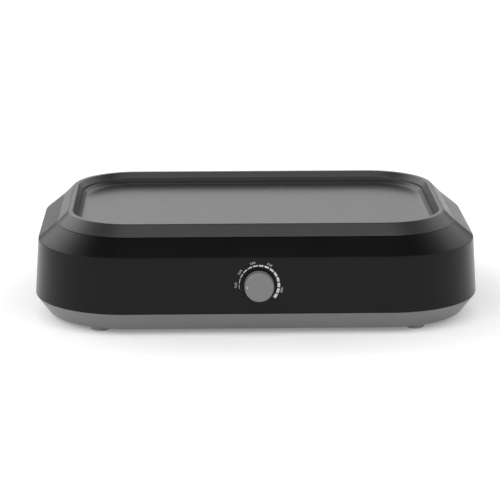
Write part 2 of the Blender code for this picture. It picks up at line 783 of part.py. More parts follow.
def build_element(casing):
    """The tubular element, its sealed ends and the notched strips that carry it."""
    left = element_half()
    right = [(-x, y, z) for x, y, z in reversed(left)]
    tube("heating_element", left + right, ELEMENT_RADIUS, ELEMENT_STEEL, casing)
    seal = [
        (0, 0),
        (ELEMENT_RADIUS, 0),
        (ELEMENT_RADIUS, -SEAL_LENGTH),
        (STUD_RADIUS, -SEAL_LENGTH),
        (STUD_RADIUS, -SEAL_LENGTH - STUD_LENGTH),
        (0, -SEAL_LENGTH - STUD_LENGTH),
    ]
    for side, name in ((-1, "left"), (1, "right")):
        place = (side * END_X, PASS_OUTER_Y, ELEMENT_END_Z - GAP)
        turned(f"element_seal_{name}", seal, CERAMIC, casing, place, steps=16)
    for name, (x, y) in corner_places(CRADLE_X, 1).items():
        notches = [(math.copysign(pass_y, y), ELEMENT_RADIUS) for pass_y in (PASS_INNER_Y, PASS_OUTER_Y)]
        build_cradle(f"element_cradle_{name}", x, sorted(notches), ELEMENT_Z, casing)


def build_cradle(name, x, notches, centre_z, casing):
    """A strip that stands on the pan across the tubes, with a half-round notch for each (y, radius)."""
    low = PAN_TOP_FACE + GAP
    outline = [(notches[0][0] - CRADLE_END, low)]
    outline.append((notches[0][0] - CRADLE_END, centre_z))
    for y, radius in notches:
        outline += arc((y, centre_z), radius + HOLE_CLEARANCE, 180, 360, NOTCH_SEGMENTS)
    outline.append((notches[-1][0] + CRADLE_END, centre_z))
    outline.append((notches[-1][0] + CRADLE_END, low))
    turn = (math.radians(90), 0, math.radians(90))
    flat_piece(name, outline, CRADLE_THICKNESS, SHEET_STEEL, casing, (x, 0, 0), turn)


def build_sensor(casing):
    """The thermostat's bulb just under the plate, and the capillary tube that leads to it."""
    half = BULB_LENGTH / 2
    bulb = [(0, half), (BULB_RADIUS, half), (BULB_RADIUS, -half), (0, -half)]
    along_x = (0, math.radians(90), 0)
    turned("sensor_bulb", bulb, BRIGHT_STEEL, casing, (0, BULB_Y, BULB_Z), along_x, steps=16)
    build_cradle("sensor_cradle", 0, [(BULB_Y, BULB_RADIUS)], BULB_Z, casing)
    start_y = DIAL_Y - BODY_BACK + LEAD_END_GAP
    route = [
        (14 * MM, start_y + MM, DIAL_Z - 8 * MM),
        (18 * MM, start_y + 12 * MM, DIAL_Z - 10 * MM),
        (32 * MM, BULB_Y - 22 * MM, DIAL_Z - 8 * MM),
        (CAPILLARY_X - 2 * MM, BULB_Y - 4 * MM, DIAL_Z + 4 * MM),
        (CAPILLARY_X, BULB_Y, PAN_UNDERSIDE - 3 * MM),
        (CAPILLARY_X, BULB_Y, PAN_TOP_FACE + 5 * MM),
        (half + 7 * MM, BULB_Y, BULB_Z - MM),
        (half + LEAD_END_GAP, BULB_Y, BULB_Z),
    ]
    tube("capillary_tube", smooth_route(route), CAPILLARY_RADIUS, BRASS, casing)


# ---------------------------------------------------------------- control


def build_knob(turning):
    """The knob, its pointer dot and the parts that turn with it, about the dial's axis."""
    face = KNOB_HEIGHT
    back = -DIAL_RECESS_DEPTH + KNOB_BACK_GAP
    edge_centre = (KNOB_FACE_RADIUS - KNOB_EDGE, face - KNOB_EDGE)
    hollow_top = face - KNOB_FACE_WALL
    bore = SHAFT_RADIUS + HOLE_CLEARANCE
    bore_top = SHAFT_IN_KNOB + GAP
    profile = [
        (0, face),
        *reversed(arc(edge_centre, KNOB_EDGE, 0, 90, KNOB_EDGE_SEGMENTS)),
        (KNOB_RADIUS, back),
        (KNOB_RADIUS - KNOB_WALL, back),
        (KNOB_RADIUS - KNOB_WALL, hollow_top),
        (HUB_RADIUS, hollow_top),
        (HUB_RADIUS, HUB_START),
        (bore, HUB_START),
        (bore, bore_top),
        (0, bore_top),
    ]
    knob = turned("control_knob", profile, KNOB_PLASTIC, turning, steps=40)
    pointer_x = POINTER_FROM_EDGE - KNOB_RADIUS
    pocket_place = (pointer_x, 0, face - POINTER_DEPTH - GAP)
    pocket = rod("pointer_pocket", POINTER_RADIUS + GAP, KNOB_HEIGHT, pocket_place, None, turning, 16)
    combine(knob, "DIFFERENCE", pocket)
    dot_place = (pointer_x, 0, face - POINTER_DEPTH)
    rod("pointer_dot", POINTER_RADIUS, POINTER_DEPTH, dot_place, POINTER_PLASTIC, turning, 16)
    ring_inner = HUB_RADIUS + GAP
    ring_low = (HUB_START + hollow_top - CLIP_RING_HEIGHT) / 2
    ring = [
        (ring_inner, ring_low + CLIP_RING_HEIGHT),
        (ring_inner + CLIP_RING_WALL, ring_low + CLIP_RING_HEIGHT),
        (ring_inner + CLIP_RING_WALL, ring_low),
        (ring_inner, ring_low),
    ]
    turned("knob_clip_ring", ring, BRIGHT_STEEL, turning, steps=20)
    low = BODY_FRONT - SHAFT_IN_BODY
    shaft = [(0, SHAFT_IN_KNOB), (SHAFT_RADIUS, SHAFT_IN_KNOB), (SHAFT_RADIUS, low), (0, low)]
    turned("thermostat_shaft", shaft, BRASS, turning, steps=20)


def build_thermostat(dial):
    """The thermostat behind the front wall, held by the nut on its threaded bushing."""
    bore = SHAFT_RADIUS + HOLE_CLEARANCE
    collar_front = -(CASING_WALL + 2 * GAP + BRACKET_THICKNESS)
    collar_back = collar_front - COLLAR_THICKNESS
    bushing = [
        (bore, BUSHING_HEIGHT),
        (BUSHING_RADIUS, BUSHING_HEIGHT),
        (BUSHING_RADIUS, collar_front),
        (COLLAR_RADIUS, collar_front),
        (COLLAR_RADIUS, collar_back),
        (bore, collar_back),
    ]
    turned("thermostat_bushing", bushing, BRASS, dial, steps=20)
    nut_low = -DIAL_RECESS_DEPTH + GAP
    nut = rod("thermostat_nut", NUT_RADIUS, NUT_THICKNESS, (0, 0, nut_low), BRIGHT_STEEL, dial, 6)
    bore_start = (0, 0, nut_low - NUT_THICKNESS)
    nut_bore = rod("nut_bore", BUSHING_RADIUS + GAP, 3 * NUT_THICKNESS, bore_start, None, dial)
    combine(nut, "DIFFERENCE", nut_bore)
    bracket_middle = (0, 0, -(CASING_WALL + GAP + BRACKET_THICKNESS / 2))
    bracket_size = (*BRACKET_SIZE, BRACKET_THICKNESS)
    bracket = box("thermostat_bracket", bracket_size, bracket_middle, SHEET_STEEL, dial)
    hole_start = (0, 0, bracket_middle[2] - BRACKET_THICKNESS)
    hole_radius = BUSHING_RADIUS + HOLE_CLEARANCE
    bracket_hole = rod("bracket_hole", hole_radius, 2 * BRACKET_THICKNESS, hole_start, None, dial)
    combine(bracket, "DIFFERENCE", bracket_hole)
    body_middle = (0, 0, (BODY_FRONT + BODY_BACK) / 2)
    body = box("thermostat_body", THERMOSTAT_SIZE, body_middle, PHENOLIC, dial)
    bore_floor = (0, 0, BODY_FRONT - SHAFT_IN_BODY - GAP)
    body_bore = rod("body_bore", bore, 2 * SHAFT_IN_BODY, bore_floor, None, dial)
    combine(body, "DIFFERENCE", body_bore)
    for side, name in ((-1, "supply"), (1, "switched")):
        place = (side * TAB_X, 0, BODY_BACK - GAP - TAB_SIZE[2] / 2)
        box(f"thermostat_tab_{name}", TAB_SIZE, place, BRASS, dial)


# ---------------------------------------------------------------- mains inlet and wiring


def build_inlet(inlet):
    """The recessed mains inlet with its three pins, screwed to the rear wall."""
    flange_middle = (0, 0, GAP + INLET_FLANGE[2] / 2)
    body_middle = (0, 0, GAP - INLET_BODY[2] / 2)
    socket_floor = GAP + INLET_FLANGE[2] - INLET_SOCKET[2]
    housing = box("power_inlet", INLET_FLANGE, flange_middle, INLET_PLASTIC, inlet)
    body = box("inlet_body", (*INLET_BODY[:2], INLET_BODY[2] + 2 * GAP), body_middle, None, inlet)
    socket_size = (*INLET_SOCKET[:2], 2 * INLET_SOCKET[2])
    socket = box("inlet_socket", socket_size, (0, 0, socket_floor + INLET_SOCKET[2]), None, inlet)
    slots = boxes(
        "pin_slots",
        (INLET_PIN[0] + 2 * GAP, INLET_PIN[1] + 2 * GAP, 2 * INLET_BODY[2]),
        [Vector((x, y, -INLET_BODY[2] / 2)) for x, y in INLET_PINS.values()],
        None,
        inlet,
    )
    screw_holes = rods(
        "inlet_flange_holes",
        INLET_SCREW_RADIUS + HOLE_CLEARANCE,
        4 * INLET_FLANGE[2],
        [(side * INLET_SCREW_X, 0, -INLET_FLANGE[2]) for side in (-1, 1)],
        None,
        inlet,
        sides=12,
    )
    combine(housing, "UNION", body)
    combine(housing, "DIFFERENCE", socket, slots, screw_holes)
    pin_top = GAP + INLET_FLANGE[2] - INLET_PIN_STANDOFF
    pin_low = GAP - INLET_BODY[2] - INLET_PIN_TAIL
    for name, (x, y) in INLET_PINS.items():
        size = (*INLET_PIN, pin_top - pin_low)
        box(f"inlet_pin_{name}", size, (x, y, (pin_top + pin_low) / 2), BRIGHT_STEEL, inlet)
    for side, name in ((-1, "a"), (1, "b")):
        seat = (side * INLET_SCREW_X, 0, INLET_FLANGE[2] + 2 * GAP)
        screw(
            f"inlet_screw_{name}",
            INLET_SCREW_RADIUS,
            INLET_SCREW_HEAD,
            INLET_SCREW_HEAD_HEIGHT,
            INLET_SCREW_LENGTH,
            inlet,
            seat,
        )


def build_fuse(casing):
    """The thermal fuse and the clamp that holds it against the pan."""
    half = FUSE_LENGTH / 2
    fuse = [(0, half), (FUSE_RADIUS, half), (FUSE_RADIUS, -half), (0, -half)]
    along_x = (0, math.radians(90), 0)
    turned("thermal_fuse", fuse, FUSE_SLEEVE, casing, (FUSE_X, FUSE_Y, FUSE_Z), along_x, steps=16)
    inner = FUSE_RADIUS + GAP
    outer = inner + CLAMP_THICKNESS
    foot_top = PAN_UNDERSIDE - GAP
    foot_low = foot_top - CLAMP_THICKNESS
    outline = [
        (-outer - CLAMP_FOOT, foot_low),
        (-outer, foot_low),
        *arc((0, FUSE_Z), outer, 180, 360, NOTCH_SEGMENTS),
        (outer, foot_low),
        (outer + CLAMP_FOOT, foot_low),
        (outer + CLAMP_FOOT, foot_top),
        (inner, foot_top),
        *arc((0, FUSE_Z), inner, 0, -180, NOTCH_SEGMENTS),
        (-inner, foot_top),
        (-outer - CLAMP_FOOT, foot_top),
    ]
    turn = (math.radians(90), 0, math.radians(90))
    flat_piece("fuse_clamp", outline, CLAMP_LENGTH, SHEET_STEEL, casing, (FUSE_X, FUSE_Y, 0), turn)


def build_leads(casing):
    """The five leads under the pan. Each runs smoothly through its own points, terminal to terminal."""
    tab_y = DIAL_Y - BODY_BACK + GAP + TAB_SIZE[2] + LEAD_END_GAP
    tab_z = DIAL_Z + BODY_BACK * math.sin(DRAFT_ANGLE)
    tail_y = INLET_Y - INLET_BODY[2] - INLET_PIN_TAIL - LEAD_END_GAP
    stud_z = ELEMENT_END_Z - GAP - SEAL_LENGTH - STUD_LENGTH - LEAD_END_GAP
    fuse_left = FUSE_X - FUSE_LENGTH / 2 - LEAD_END_GAP
    fuse_right = FUSE_X + FUSE_LENGTH / 2 + LEAD_END_GAP
    live_x, neutral_x, earth_x = (INLET_X - INLET_PINS[name][0] for name in ("live", "neutral", "earth"))
    low_pin_z = INLET_Z + INLET_PINS["live"][1] - 2 * MM
    earth_pin_z = INLET_Z + INLET_PINS["earth"][1] - 2 * MM
    routes = {
        "live": [
            (live_x, tail_y, low_pin_z),
            (live_x - 4 * MM, tail_y - 12 * MM, low_pin_z - 3 * MM),
            (20 * MM, PASS_OUTER_Y - 25 * MM, 40 * MM),
            (-20 * MM, 56 * MM, 56 * MM),
            (fuse_right + 10 * MM, FUSE_Y, FUSE_Z - 3 * MM),
            (fuse_right, FUSE_Y, FUSE_Z),
        ],
        "supply": [
            (fuse_left, FUSE_Y, FUSE_Z),
            (fuse_left - 10 * MM, FUSE_Y - 2 * MM, FUSE_Z - 4 * MM),
            (-84 * MM, 30 * MM, 48 * MM),
            (-60 * MM, -40 * MM, 36 * MM),
            (-22 * MM, tab_y + 26 * MM, 44 * MM),
            (-TAB_X, tab_y + 6 * MM, tab_z),
            (-TAB_X, tab_y, tab_z),
        ],
        "switched": [
            (TAB_X, tab_y, tab_z),
            (TAB_X, tab_y + 6 * MM, tab_z - MM),
            (4 * MM, tab_y + 34 * MM, 30 * MM),
            (-30 * MM, -30 * MM, 18 * MM),
            (-30 * MM, 50 * MM, 20 * MM),
            (-END_X, PASS_OUTER_Y - 2 * MM, stud_z - 14 * MM),
            (-END_X, PASS_OUTER_Y, stud_z),
        ],
        "neutral": [
            (neutral_x, tail_y, low_pin_z),
            (neutral_x - 2 * MM, tail_y - 10 * MM, low_pin_z - 6 * MM),
            (46 * MM, tail_y - 25 * MM, 22 * MM),
            (END_X + 6 * MM, PASS_OUTER_Y + MM, stud_z - 16 * MM),
            (END_X, PASS_OUTER_Y, stud_z),
        ],
        "earth": [
            (earth_x, tail_y, earth_pin_z),
            (earth_x + 4 * MM, tail_y - 12 * MM, earth_pin_z + 2 * MM),
            (EARTH_X - 6 * MM, EARTH_Y + 6 * MM, PAN_UNDERSIDE - 12 * MM),
            (EARTH_X, EARTH_Y, PAN_UNDERSIDE - LEAD_END_GAP - LEAD_RADIUS),
        ],
    }
    finishes = {"supply": "live"}
    for name, route in routes.items():
        colour = LEAD_COLOURS[finishes.get(name, name)]
        tube(f"{name}_lead", smooth_route(route), LEAD_RADIUS, colour, casing)


def main():
    casing = add_empty("casing", (0, CASING_Y, 0))
    tilt = math.radians(90) - DRAFT_ANGLE
    dial = add_empty("dial", (0, DIAL_Y, DIAL_Z), (tilt, 0, 0), casing)
    turning = add_empty("knob_axis", (0, 0, 0), parent=dial)
    inlet = add_empty("inlet", (INLET_X, INLET_Y, INLET_Z), (tilt, 0, math.pi), casing)
    build_tray(casing)
    build_housing(casing, dial, inlet)
    build_casing_screws(casing)
    build_feet(casing)
    build_plate(casing)
    build_pan(casing)
    build_element(casing)
    build_sensor(casing)
    build_knob(turning)
    build_thermostat(dial)
    build_inlet(inlet)
    build_fuse(casing)
    build_leads(casing)


main()
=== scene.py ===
"""The looks of an electric griddle: a non-stick plate on a black and grey plastic casing with one knob.

The outer surfaces are modelled here over the fixed frame, with the rounded edges and fine parts that the
frame's solids leave out. Everything is in metres, +Z up, with the knob towards -Y.
"""

import json
import logging
import math
from collections.abc import Callable, Iterator, Sequence
from contextlib import contextmanager
from dataclasses import dataclass
from enum import Enum

import bmesh
import bpy
from mathutils import Matrix, Vector

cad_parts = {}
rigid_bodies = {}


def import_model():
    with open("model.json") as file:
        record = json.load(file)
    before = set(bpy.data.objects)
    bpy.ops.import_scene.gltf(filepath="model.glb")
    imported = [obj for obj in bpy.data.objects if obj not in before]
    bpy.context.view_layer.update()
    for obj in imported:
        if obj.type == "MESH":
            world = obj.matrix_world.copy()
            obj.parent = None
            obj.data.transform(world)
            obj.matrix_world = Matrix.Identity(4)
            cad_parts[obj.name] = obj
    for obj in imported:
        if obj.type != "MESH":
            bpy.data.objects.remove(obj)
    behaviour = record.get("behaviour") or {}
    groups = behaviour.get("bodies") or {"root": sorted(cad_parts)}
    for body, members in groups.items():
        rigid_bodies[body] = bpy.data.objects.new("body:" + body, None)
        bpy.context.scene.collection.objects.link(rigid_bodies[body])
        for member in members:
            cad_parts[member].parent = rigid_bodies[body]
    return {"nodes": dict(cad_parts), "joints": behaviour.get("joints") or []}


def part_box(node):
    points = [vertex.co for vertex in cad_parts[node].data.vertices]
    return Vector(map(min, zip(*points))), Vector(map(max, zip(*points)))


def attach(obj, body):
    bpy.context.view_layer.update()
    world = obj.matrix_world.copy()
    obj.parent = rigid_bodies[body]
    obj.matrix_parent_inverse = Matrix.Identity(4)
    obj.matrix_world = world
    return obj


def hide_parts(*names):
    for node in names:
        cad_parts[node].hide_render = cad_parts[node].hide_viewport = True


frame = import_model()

logging.basicConfig(level=logging.INFO, format="%(name)s: %(message)s")
LOG = logging.getLogger("griddle")

MM = 0.001
Piece = bpy.types.Object
Tree = bpy.types.NodeTree
Node = bpy.types.Node
Socket = bpy.types.NodeSocket
Edge = bmesh.types.BMEdge
Test = Callable[[object], bool]
EdgeTest = Callable[[Edge], bool]
# Two heights nearer than this count as one
CLOSE = 0.01 * MM
UP = Vector((0, 0, 1))
DOWN = Vector((0, 0, -1))
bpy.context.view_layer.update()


# ---------------------------------------------------------------- choices


class Element(Enum):
    """The kinds of mesh element that can be picked: select mode and bmesh sequence."""

    EDGE = ("EDGE", "edges")
    FACE = ("FACE", "faces")


class Cut(Enum):
    """How one solid changes another."""

    AWAY = "DIFFERENCE"
    TOGETHER = "UNION"


class Body(Enum):
    """The frame's bodies."""

    CASING = "casing"
    PLATE = "plate"
    KNOB = "knob"


# ---------------------------------------------------------------- modelling tools


def select_only(piece: Piece) -> None:
    """Makes one object the active one, with nothing else selected.

    Args:
        piece: The object to work on.
    """
    bpy.ops.object.select_all(action="DESELECT")
    piece.select_set(True)
    bpy.context.view_layer.objects.active = piece


@contextmanager
def editing(piece: Piece) -> Iterator[None]:
    """Opens a piece in edit mode for as long as the block lasts.

    Args:
        piece: The object whose mesh is edited.

    Yields:
        Nothing: the operators act on the open mesh.
    """
    select_only(piece)
    bpy.ops.object.mode_set(mode="EDIT")
    yield
    bpy.ops.object.mode_set(mode="OBJECT")


def pick(piece: Piece, kind: Element, test: Test) -> None:
    """Selects the elements of an open mesh that pass a test, and nothing else.

    Args:
        piece: The object that is open in edit mode.
        kind: Which elements to look at.
        test: Says whether an element is wanted, from its place or normal.
    """
    mode, elements = kind.value
    bpy.ops.mesh.select_mode(type=mode)
    bpy.ops.mesh.select_all(action="DESELECT")
    mesh = bmesh.from_edit_mesh(piece.data)
    for element in getattr(mesh, elements):
        if test(element):
            element.select_set(True)
    mesh.select_flush_mode()
    bmesh.update_edit_mesh(piece.data)


def facing(direction: Vector, height: float | None = None) -> Callable[[bmesh.types.BMFace], bool]:
    """A test for faces that look along a direction and, if asked, lie at a height along it.

    Args:
        direction: A unit vector.
        height: The distance from the origin along the direction.

    Returns:
        The test, for pick.
    """

    def test(face: bmesh.types.BMFace) -> bool:
        """Whether a face looks that way, at that height."""
        looks = face.normal.dot(direction) > 0.99
        return looks and (height is None or abs(face.calc_center_median().dot(direction) - height) < CLOSE)

    return test


def rim_at(height: float) -> EdgeTest:
    """A test for the edges of an upright piece that lie at one height.

    Args:
        height: Where the edges are along Z.

    Returns:
        The test, for pick.
    """

    def test(edge: Edge) -> bool:
        """Whether both ends of an edge are at the height."""
        return all(abs(v.co.z - height) < CLOSE for v in edge.verts)

    return test


def bevel(piece: Piece, kind: Element, test: Test, size: float, steps: int) -> None:
    """Rounds the edges that pass a test, or those of the faces that pass it.

    Args:
        piece: The object, in object mode.
        kind: Whether the test is for edges or faces.
        test: Says which of them are wanted.
        size: The rounding's width.
        steps: How many faces go across it.
    """
    with editing(piece):
        pick(piece, kind, test)
        bpy.ops.mesh.bevel(offset=size, segments=steps, affect="EDGES")


def push(depth: float) -> None:
    """Extrudes the selected faces of an open mesh along Z."""
    bpy.ops.mesh.extrude_region_move(TRANSFORM_OT_translate={"value": (0, 0, depth)})


def over(node: str, z: float = 0.0) -> Matrix:
    """Moves to the middle of a node's box, seen from above, at a height."""
    low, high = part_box(node)
    return Matrix.Translation(((low.x + high.x) / 2, (low.y + high.y) / 2, z))


def apply_modifier(piece: Piece, kind: str, **settings: object) -> None:
    """Adds a modifier with its settings and applies it.

    Args:
        piece: The object that takes it.
        kind: The modifier's type.
        **settings: Its properties.
    """
    select_only(piece)
    modifier = piece.modifiers.new(kind.title(), kind)
    for name, value in settings.items():
        setattr(modifier, name, value)
    bpy.ops.object.modifier_apply(modifier=modifier.name)


def turn_outwards(piece: Piece) -> None:
    """Merges doubled vertices and turns every face outwards.

    Args:
        piece: The object to clean.
    """
    with editing(piece):
        bpy.ops.mesh.select_all(action="SELECT")
        bpy.ops.mesh.remove_doubles(threshold=0.001 * MM)
        bpy.ops.mesh.normals_make_consistent(inside=False)


def carve(piece: Piece, cutter: Piece, how: Cut = Cut.AWAY) -> None:
    """Cuts one solid from another, or joins it, and removes the second.

    Args:
        piece: The object that stays.
        cutter: The object that is used up.
        how: Whether it is cut away or joined.
    """
    turn_outwards(cutter)
    apply_modifier(piece, "BOOLEAN", operation=how.value, object=cutter, solver="EXACT")
    bpy.data.objects.remove(cutter)


def settle(piece: Piece, place: Matrix | None = None, angle: float = 35.0) -> Piece:
    """Finishes a mesh: moves it to its place, merges doubles, turns faces out and shades round parts smooth.

    Args:
        piece: The object to finish. It ends at the origin, unturned and unscaled.
        place: Where its own frame goes, if it isn't already in place.
        angle: The sharpest turn, in degrees, that is still shaded smooth.

    Returns:
        The same object.
    """
    select_only(piece)
    bpy.ops.object.transform_apply(location=True, rotation=True, scale=True)
    if place is not None:
        piece.data.transform(place)
    turn_outwards(piece)
    bpy.ops.object.shade_smooth_by_angle(angle=math.radians(angle))
    apply_modifier(piece, "WEIGHTED_NORMAL", keep_sharp=True, weight=50)
    return piece


def copy_of(piece: Piece, name: str, place: Matrix) -> Piece:
    """A copy with its own mesh, at another place.

    Args:
        piece: The model, whose mesh is about its own origin.
        name: The copy's name.
        place: Where its frame goes.

    Returns:
        The copy.
    """
    made = bpy.data.objects.new(name, piece.data.copy())
    made.data.transform(place)
    bpy.context.scene.collection.objects.link(made)
    return made


def added(name: str) -> Piece:
    """The object that an operator just made, renamed, with its place put into its mesh.

    Args:
        name: Its new name.

    Returns:
        The object.
    """
    piece = bpy.context.active_object
    piece.name = name
    select_only(piece)
    bpy.ops.object.transform_apply(location=True, rotation=True, scale=True)
    return piece


def add_drum(name: str, radius: float, low: float, high: float, sides: int = 64) -> Piece:
    """An upright cylinder about the Z axis, from one height to another.

    Args:
        name: The object's name.
        radius: Its radius.
        low: Its lower end.
        high: Its upper end.
        sides: How many faces go round it.

    Returns:
        The new object.
    """
    bpy.ops.object.select_all(action="DESELECT")
    middle = (0, 0, (low + high) / 2)
    bpy.ops.mesh.primitive_cylinder_add(vertices=sides, radius=radius, depth=high - low, location=middle)
    return added(name)


def add_block(name: str, size: Sequence[float], middle: Sequence[float]) -> Piece:
    """A box of a size about a point.

    Args:
        name: The object's name.
        size: Its three sides.
        middle: Its centre.

    Returns:
        The new object.
    """
    bpy.ops.object.select_all(action="DESELECT")
    bpy.ops.mesh.primitive_cube_add(size=1, location=middle, scale=size)
    return added(name)


def round_corners(piece: Piece, axis: Vector, radius: float, segments: int) -> None:
    """Rounds the edges of a block that run along an axis.

    Args:
        piece: The block.
        axis: The edges' direction.
        radius: The corners' radius.
        segments: How many faces go round a corner.
    """

    def along(edge: Edge) -> bool:
        """Whether an edge runs along the axis."""
        run = edge.verts[1].co - edge.verts[0].co
        return abs(run.normalized().dot(axis)) > 0.99

    bevel(piece, Element.EDGE, along, radius, segments)


@dataclass(frozen=True)
class Outline:
    """A rounded rectangle round the casing's middle.

    Attributes:
        inset: How far it lies inside the casing's widest outline.
        z: Its height.
        radius: Its corners' radius.
        edge: The radius of the rounding along it, or nothing for a sharp edge.
    """

    inset: float
    z: float
    radius: float
    edge: float = 0.0

    def moved(self, inwards: float, z: float, edge: float = 0.0) -> "Outline":
        """The outline this far inside this one, at another height.

        Args:
            inwards: How far its sides move in.
            z: Its height.
            edge: The rounding along it.

        Returns:
            The new outline, whose corners are parallel to this one's.
        """
        return Outline(self.inset + inwards, z, self.radius - inwards, edge)


@dataclass(frozen=True)
class Skin:
    """Lofts through outlines round one middle.

    Attributes:
        middle: The centre of every outline, seen from above.
        half: Half the width and depth of the widest outline.
        corner_segments: How many faces go round a corner.
        edge_segments: How many faces go round a rounded edge.
    """

    middle: Vector
    half: Vector
    corner_segments: int = 22
    edge_segments: int = 4

    def distance(self, outline: Outline, point: Vector) -> float:
        """How far a point lies outside an outline, seen from above.

        Args:
            outline: The outline.
            point: Any point.

        Returns:
            The distance, which is negative inside.
        """
        inner = [h - outline.inset - outline.radius for h in self.half]
        out = [abs(point[i] - self.middle[i]) - inner[i] for i in range(2)]
        beyond = math.hypot(max(out[0], 0), max(out[1], 0))
        return beyond + min(max(out), 0) - outline.radius

    def on(self, outline: Outline, vertex: bmesh.types.BMVert) -> bool:
        """Whether a vertex lies on an outline."""
        level = abs(vertex.co.z - outline.z) < CLOSE
        return level and abs(self.distance(outline, vertex.co)) < 0.05 * MM

    def add_ring(self, outline: Outline, z: float) -> None:
        """Adds one outline to the open mesh, as a plane with rounded corners that keeps only its edges.

        Args:
            outline: The outline to add.
            z: The height to add it at.
        """
        centre = (self.middle.x, self.middle.y, z)
        sides = [2 * (h - outline.inset) for h in self.half]
        bpy.ops.mesh.select_all(action="DESELECT")
        bpy.ops.mesh.primitive_plane_add(size=1, location=centre)
        bpy.ops.transform.resize(value=(sides[0], sides[1], 1), center_override=centre)
        bpy.ops.mesh.bevel(offset=outline.radius, segments=self.corner_segments, affect="VERTICES")
        bpy.ops.mesh.select_linked()
        bpy.ops.mesh.delete(type="ONLY_FACE")

    def loft(self, name: str, outlines: Sequence[Outline], capped: bool) -> Piece:
        """A skin through outlines, with its chosen edges rounded.

        The outlines are first stacked a metre apart, so that nested ones are bridged corner to corner.

        Args:
            name: The object's name.
            outlines: The outlines, in order along the skin.
            capped: Whether the ends are filled. Otherwise the last joins the first.

        Returns:
            The new object.
        """

        def stacked(*levels: int) -> EdgeTest:
            """A test for the edges that lie in one of the stack's levels."""
            return lambda edge: any(all(abs(v.co.z - level) < CLOSE for v in edge.verts) for level in levels)

        bpy.ops.object.select_all(action="DESELECT")
        bpy.ops.mesh.primitive_plane_add(size=1)
        piece = added(name)
        last = len(outlines) - 1
        with editing(piece):
            bpy.ops.mesh.select_all(action="SELECT")
            bpy.ops.mesh.delete(type="VERT")
            for level, outline in enumerate(outlines):
                self.add_ring(outline, level)
            for level in range(last):
                pick(piece, Element.EDGE, stacked(level, level + 1))
                bpy.ops.mesh.bridge_edge_loops()
            if capped:
                for level in (0, last):
                    pick(piece, Element.EDGE, stacked(level))
                    bpy.ops.mesh.edge_face_add()
            else:
                pick(piece, Element.EDGE, stacked(0, last))
                bpy.ops.mesh.bridge_edge_loops()
            for level, outline in enumerate(outlines):
                pick(piece, Element.EDGE, stacked(level))
                bpy.ops.transform.translate(value=(0, 0, outline.z - level))
            for outline in (o for o in outlines if o.edge):
                pick(piece, Element.EDGE, lambda e: all(self.on(outline, v) for v in e.verts))
                bpy.ops.mesh.bevel(offset=outline.edge, segments=self.edge_segments, affect="EDGES")
        turn_outwards(piece)
        return piece


# ---------------------------------------------------------------- finishes


def linear(colour: str) -> tuple[float, float, float, float]:
    """Turns an sRGB hex colour into linear red, green and blue with full alpha.

    Args:
        colour: Such as "#1c1c1e".

    Returns:
        Four values for a colour socket.
    """
    parts = (int(colour[i : i + 2], 16) / 255 for i in (1, 3, 5))
    red, green, blue = (c / 12.92 if c <= 0.04045 else ((c + 0.055) / 1.055) ** 2.4 for c in parts)
    return (red, green, blue, 1.0)


def add_node(
    tree: Tree,
    kind: str,
    settings: dict[str, object] | None = None,
    links: dict[str, Socket] | None = None,
) -> Node:
    """Adds a node with its settings and what feeds it.

    Args:
        tree: The node tree.
        kind: The node's type, without "ShaderNode".
        settings: Values for its properties or its input sockets, by name or number.
        links: The output socket that feeds each named or numbered input.

    Returns:
        The node.
    """
    node = tree.nodes.new("ShaderNode" + kind)
    for name, value in (settings or {}).items():
        if isinstance(name, str) and hasattr(node, name):
            setattr(node, name, value)
        else:
            node.inputs[name].default_value = value
    for name, source in (links or {}).items():
        tree.links.new(source, node.inputs[name])
    return node


def remap(
    tree: Tree, value: Socket, start: Sequence[float], end: Sequence[float]
) -> Socket:
    """Maps a value from one range to another, held at both ends.

    Args:
        tree: The node tree.
        value: What is mapped.
        start: The range that it comes from.
        end: The range that it goes to.

    Returns:
        The mapped value's socket.
    """
    limits = dict(zip(("From Min", "From Max", "To Min", "To Max"), (*start, *end)))
    return add_node(tree, "MapRange", limits, {"Value": value}).outputs["Result"]


def tint(tree: Tree, shader: Node, amount: Socket, colour: str) -> None:
    """Mixes a colour over the one that a shader has.

    Args:
        tree: The node tree.
        shader: The shader.
        amount: How much of the new colour shows.
        colour: The new colour, as sRGB hex.
    """
    base = shader.inputs["Base Color"].links[0].from_socket
    mixed = add_node(tree, "Mix", {"data_type": "RGBA", 7: linear(colour)}, {"Factor": amount, 6: base})
    tree.links.new(mixed.outputs[2], shader.inputs["Base Color"])


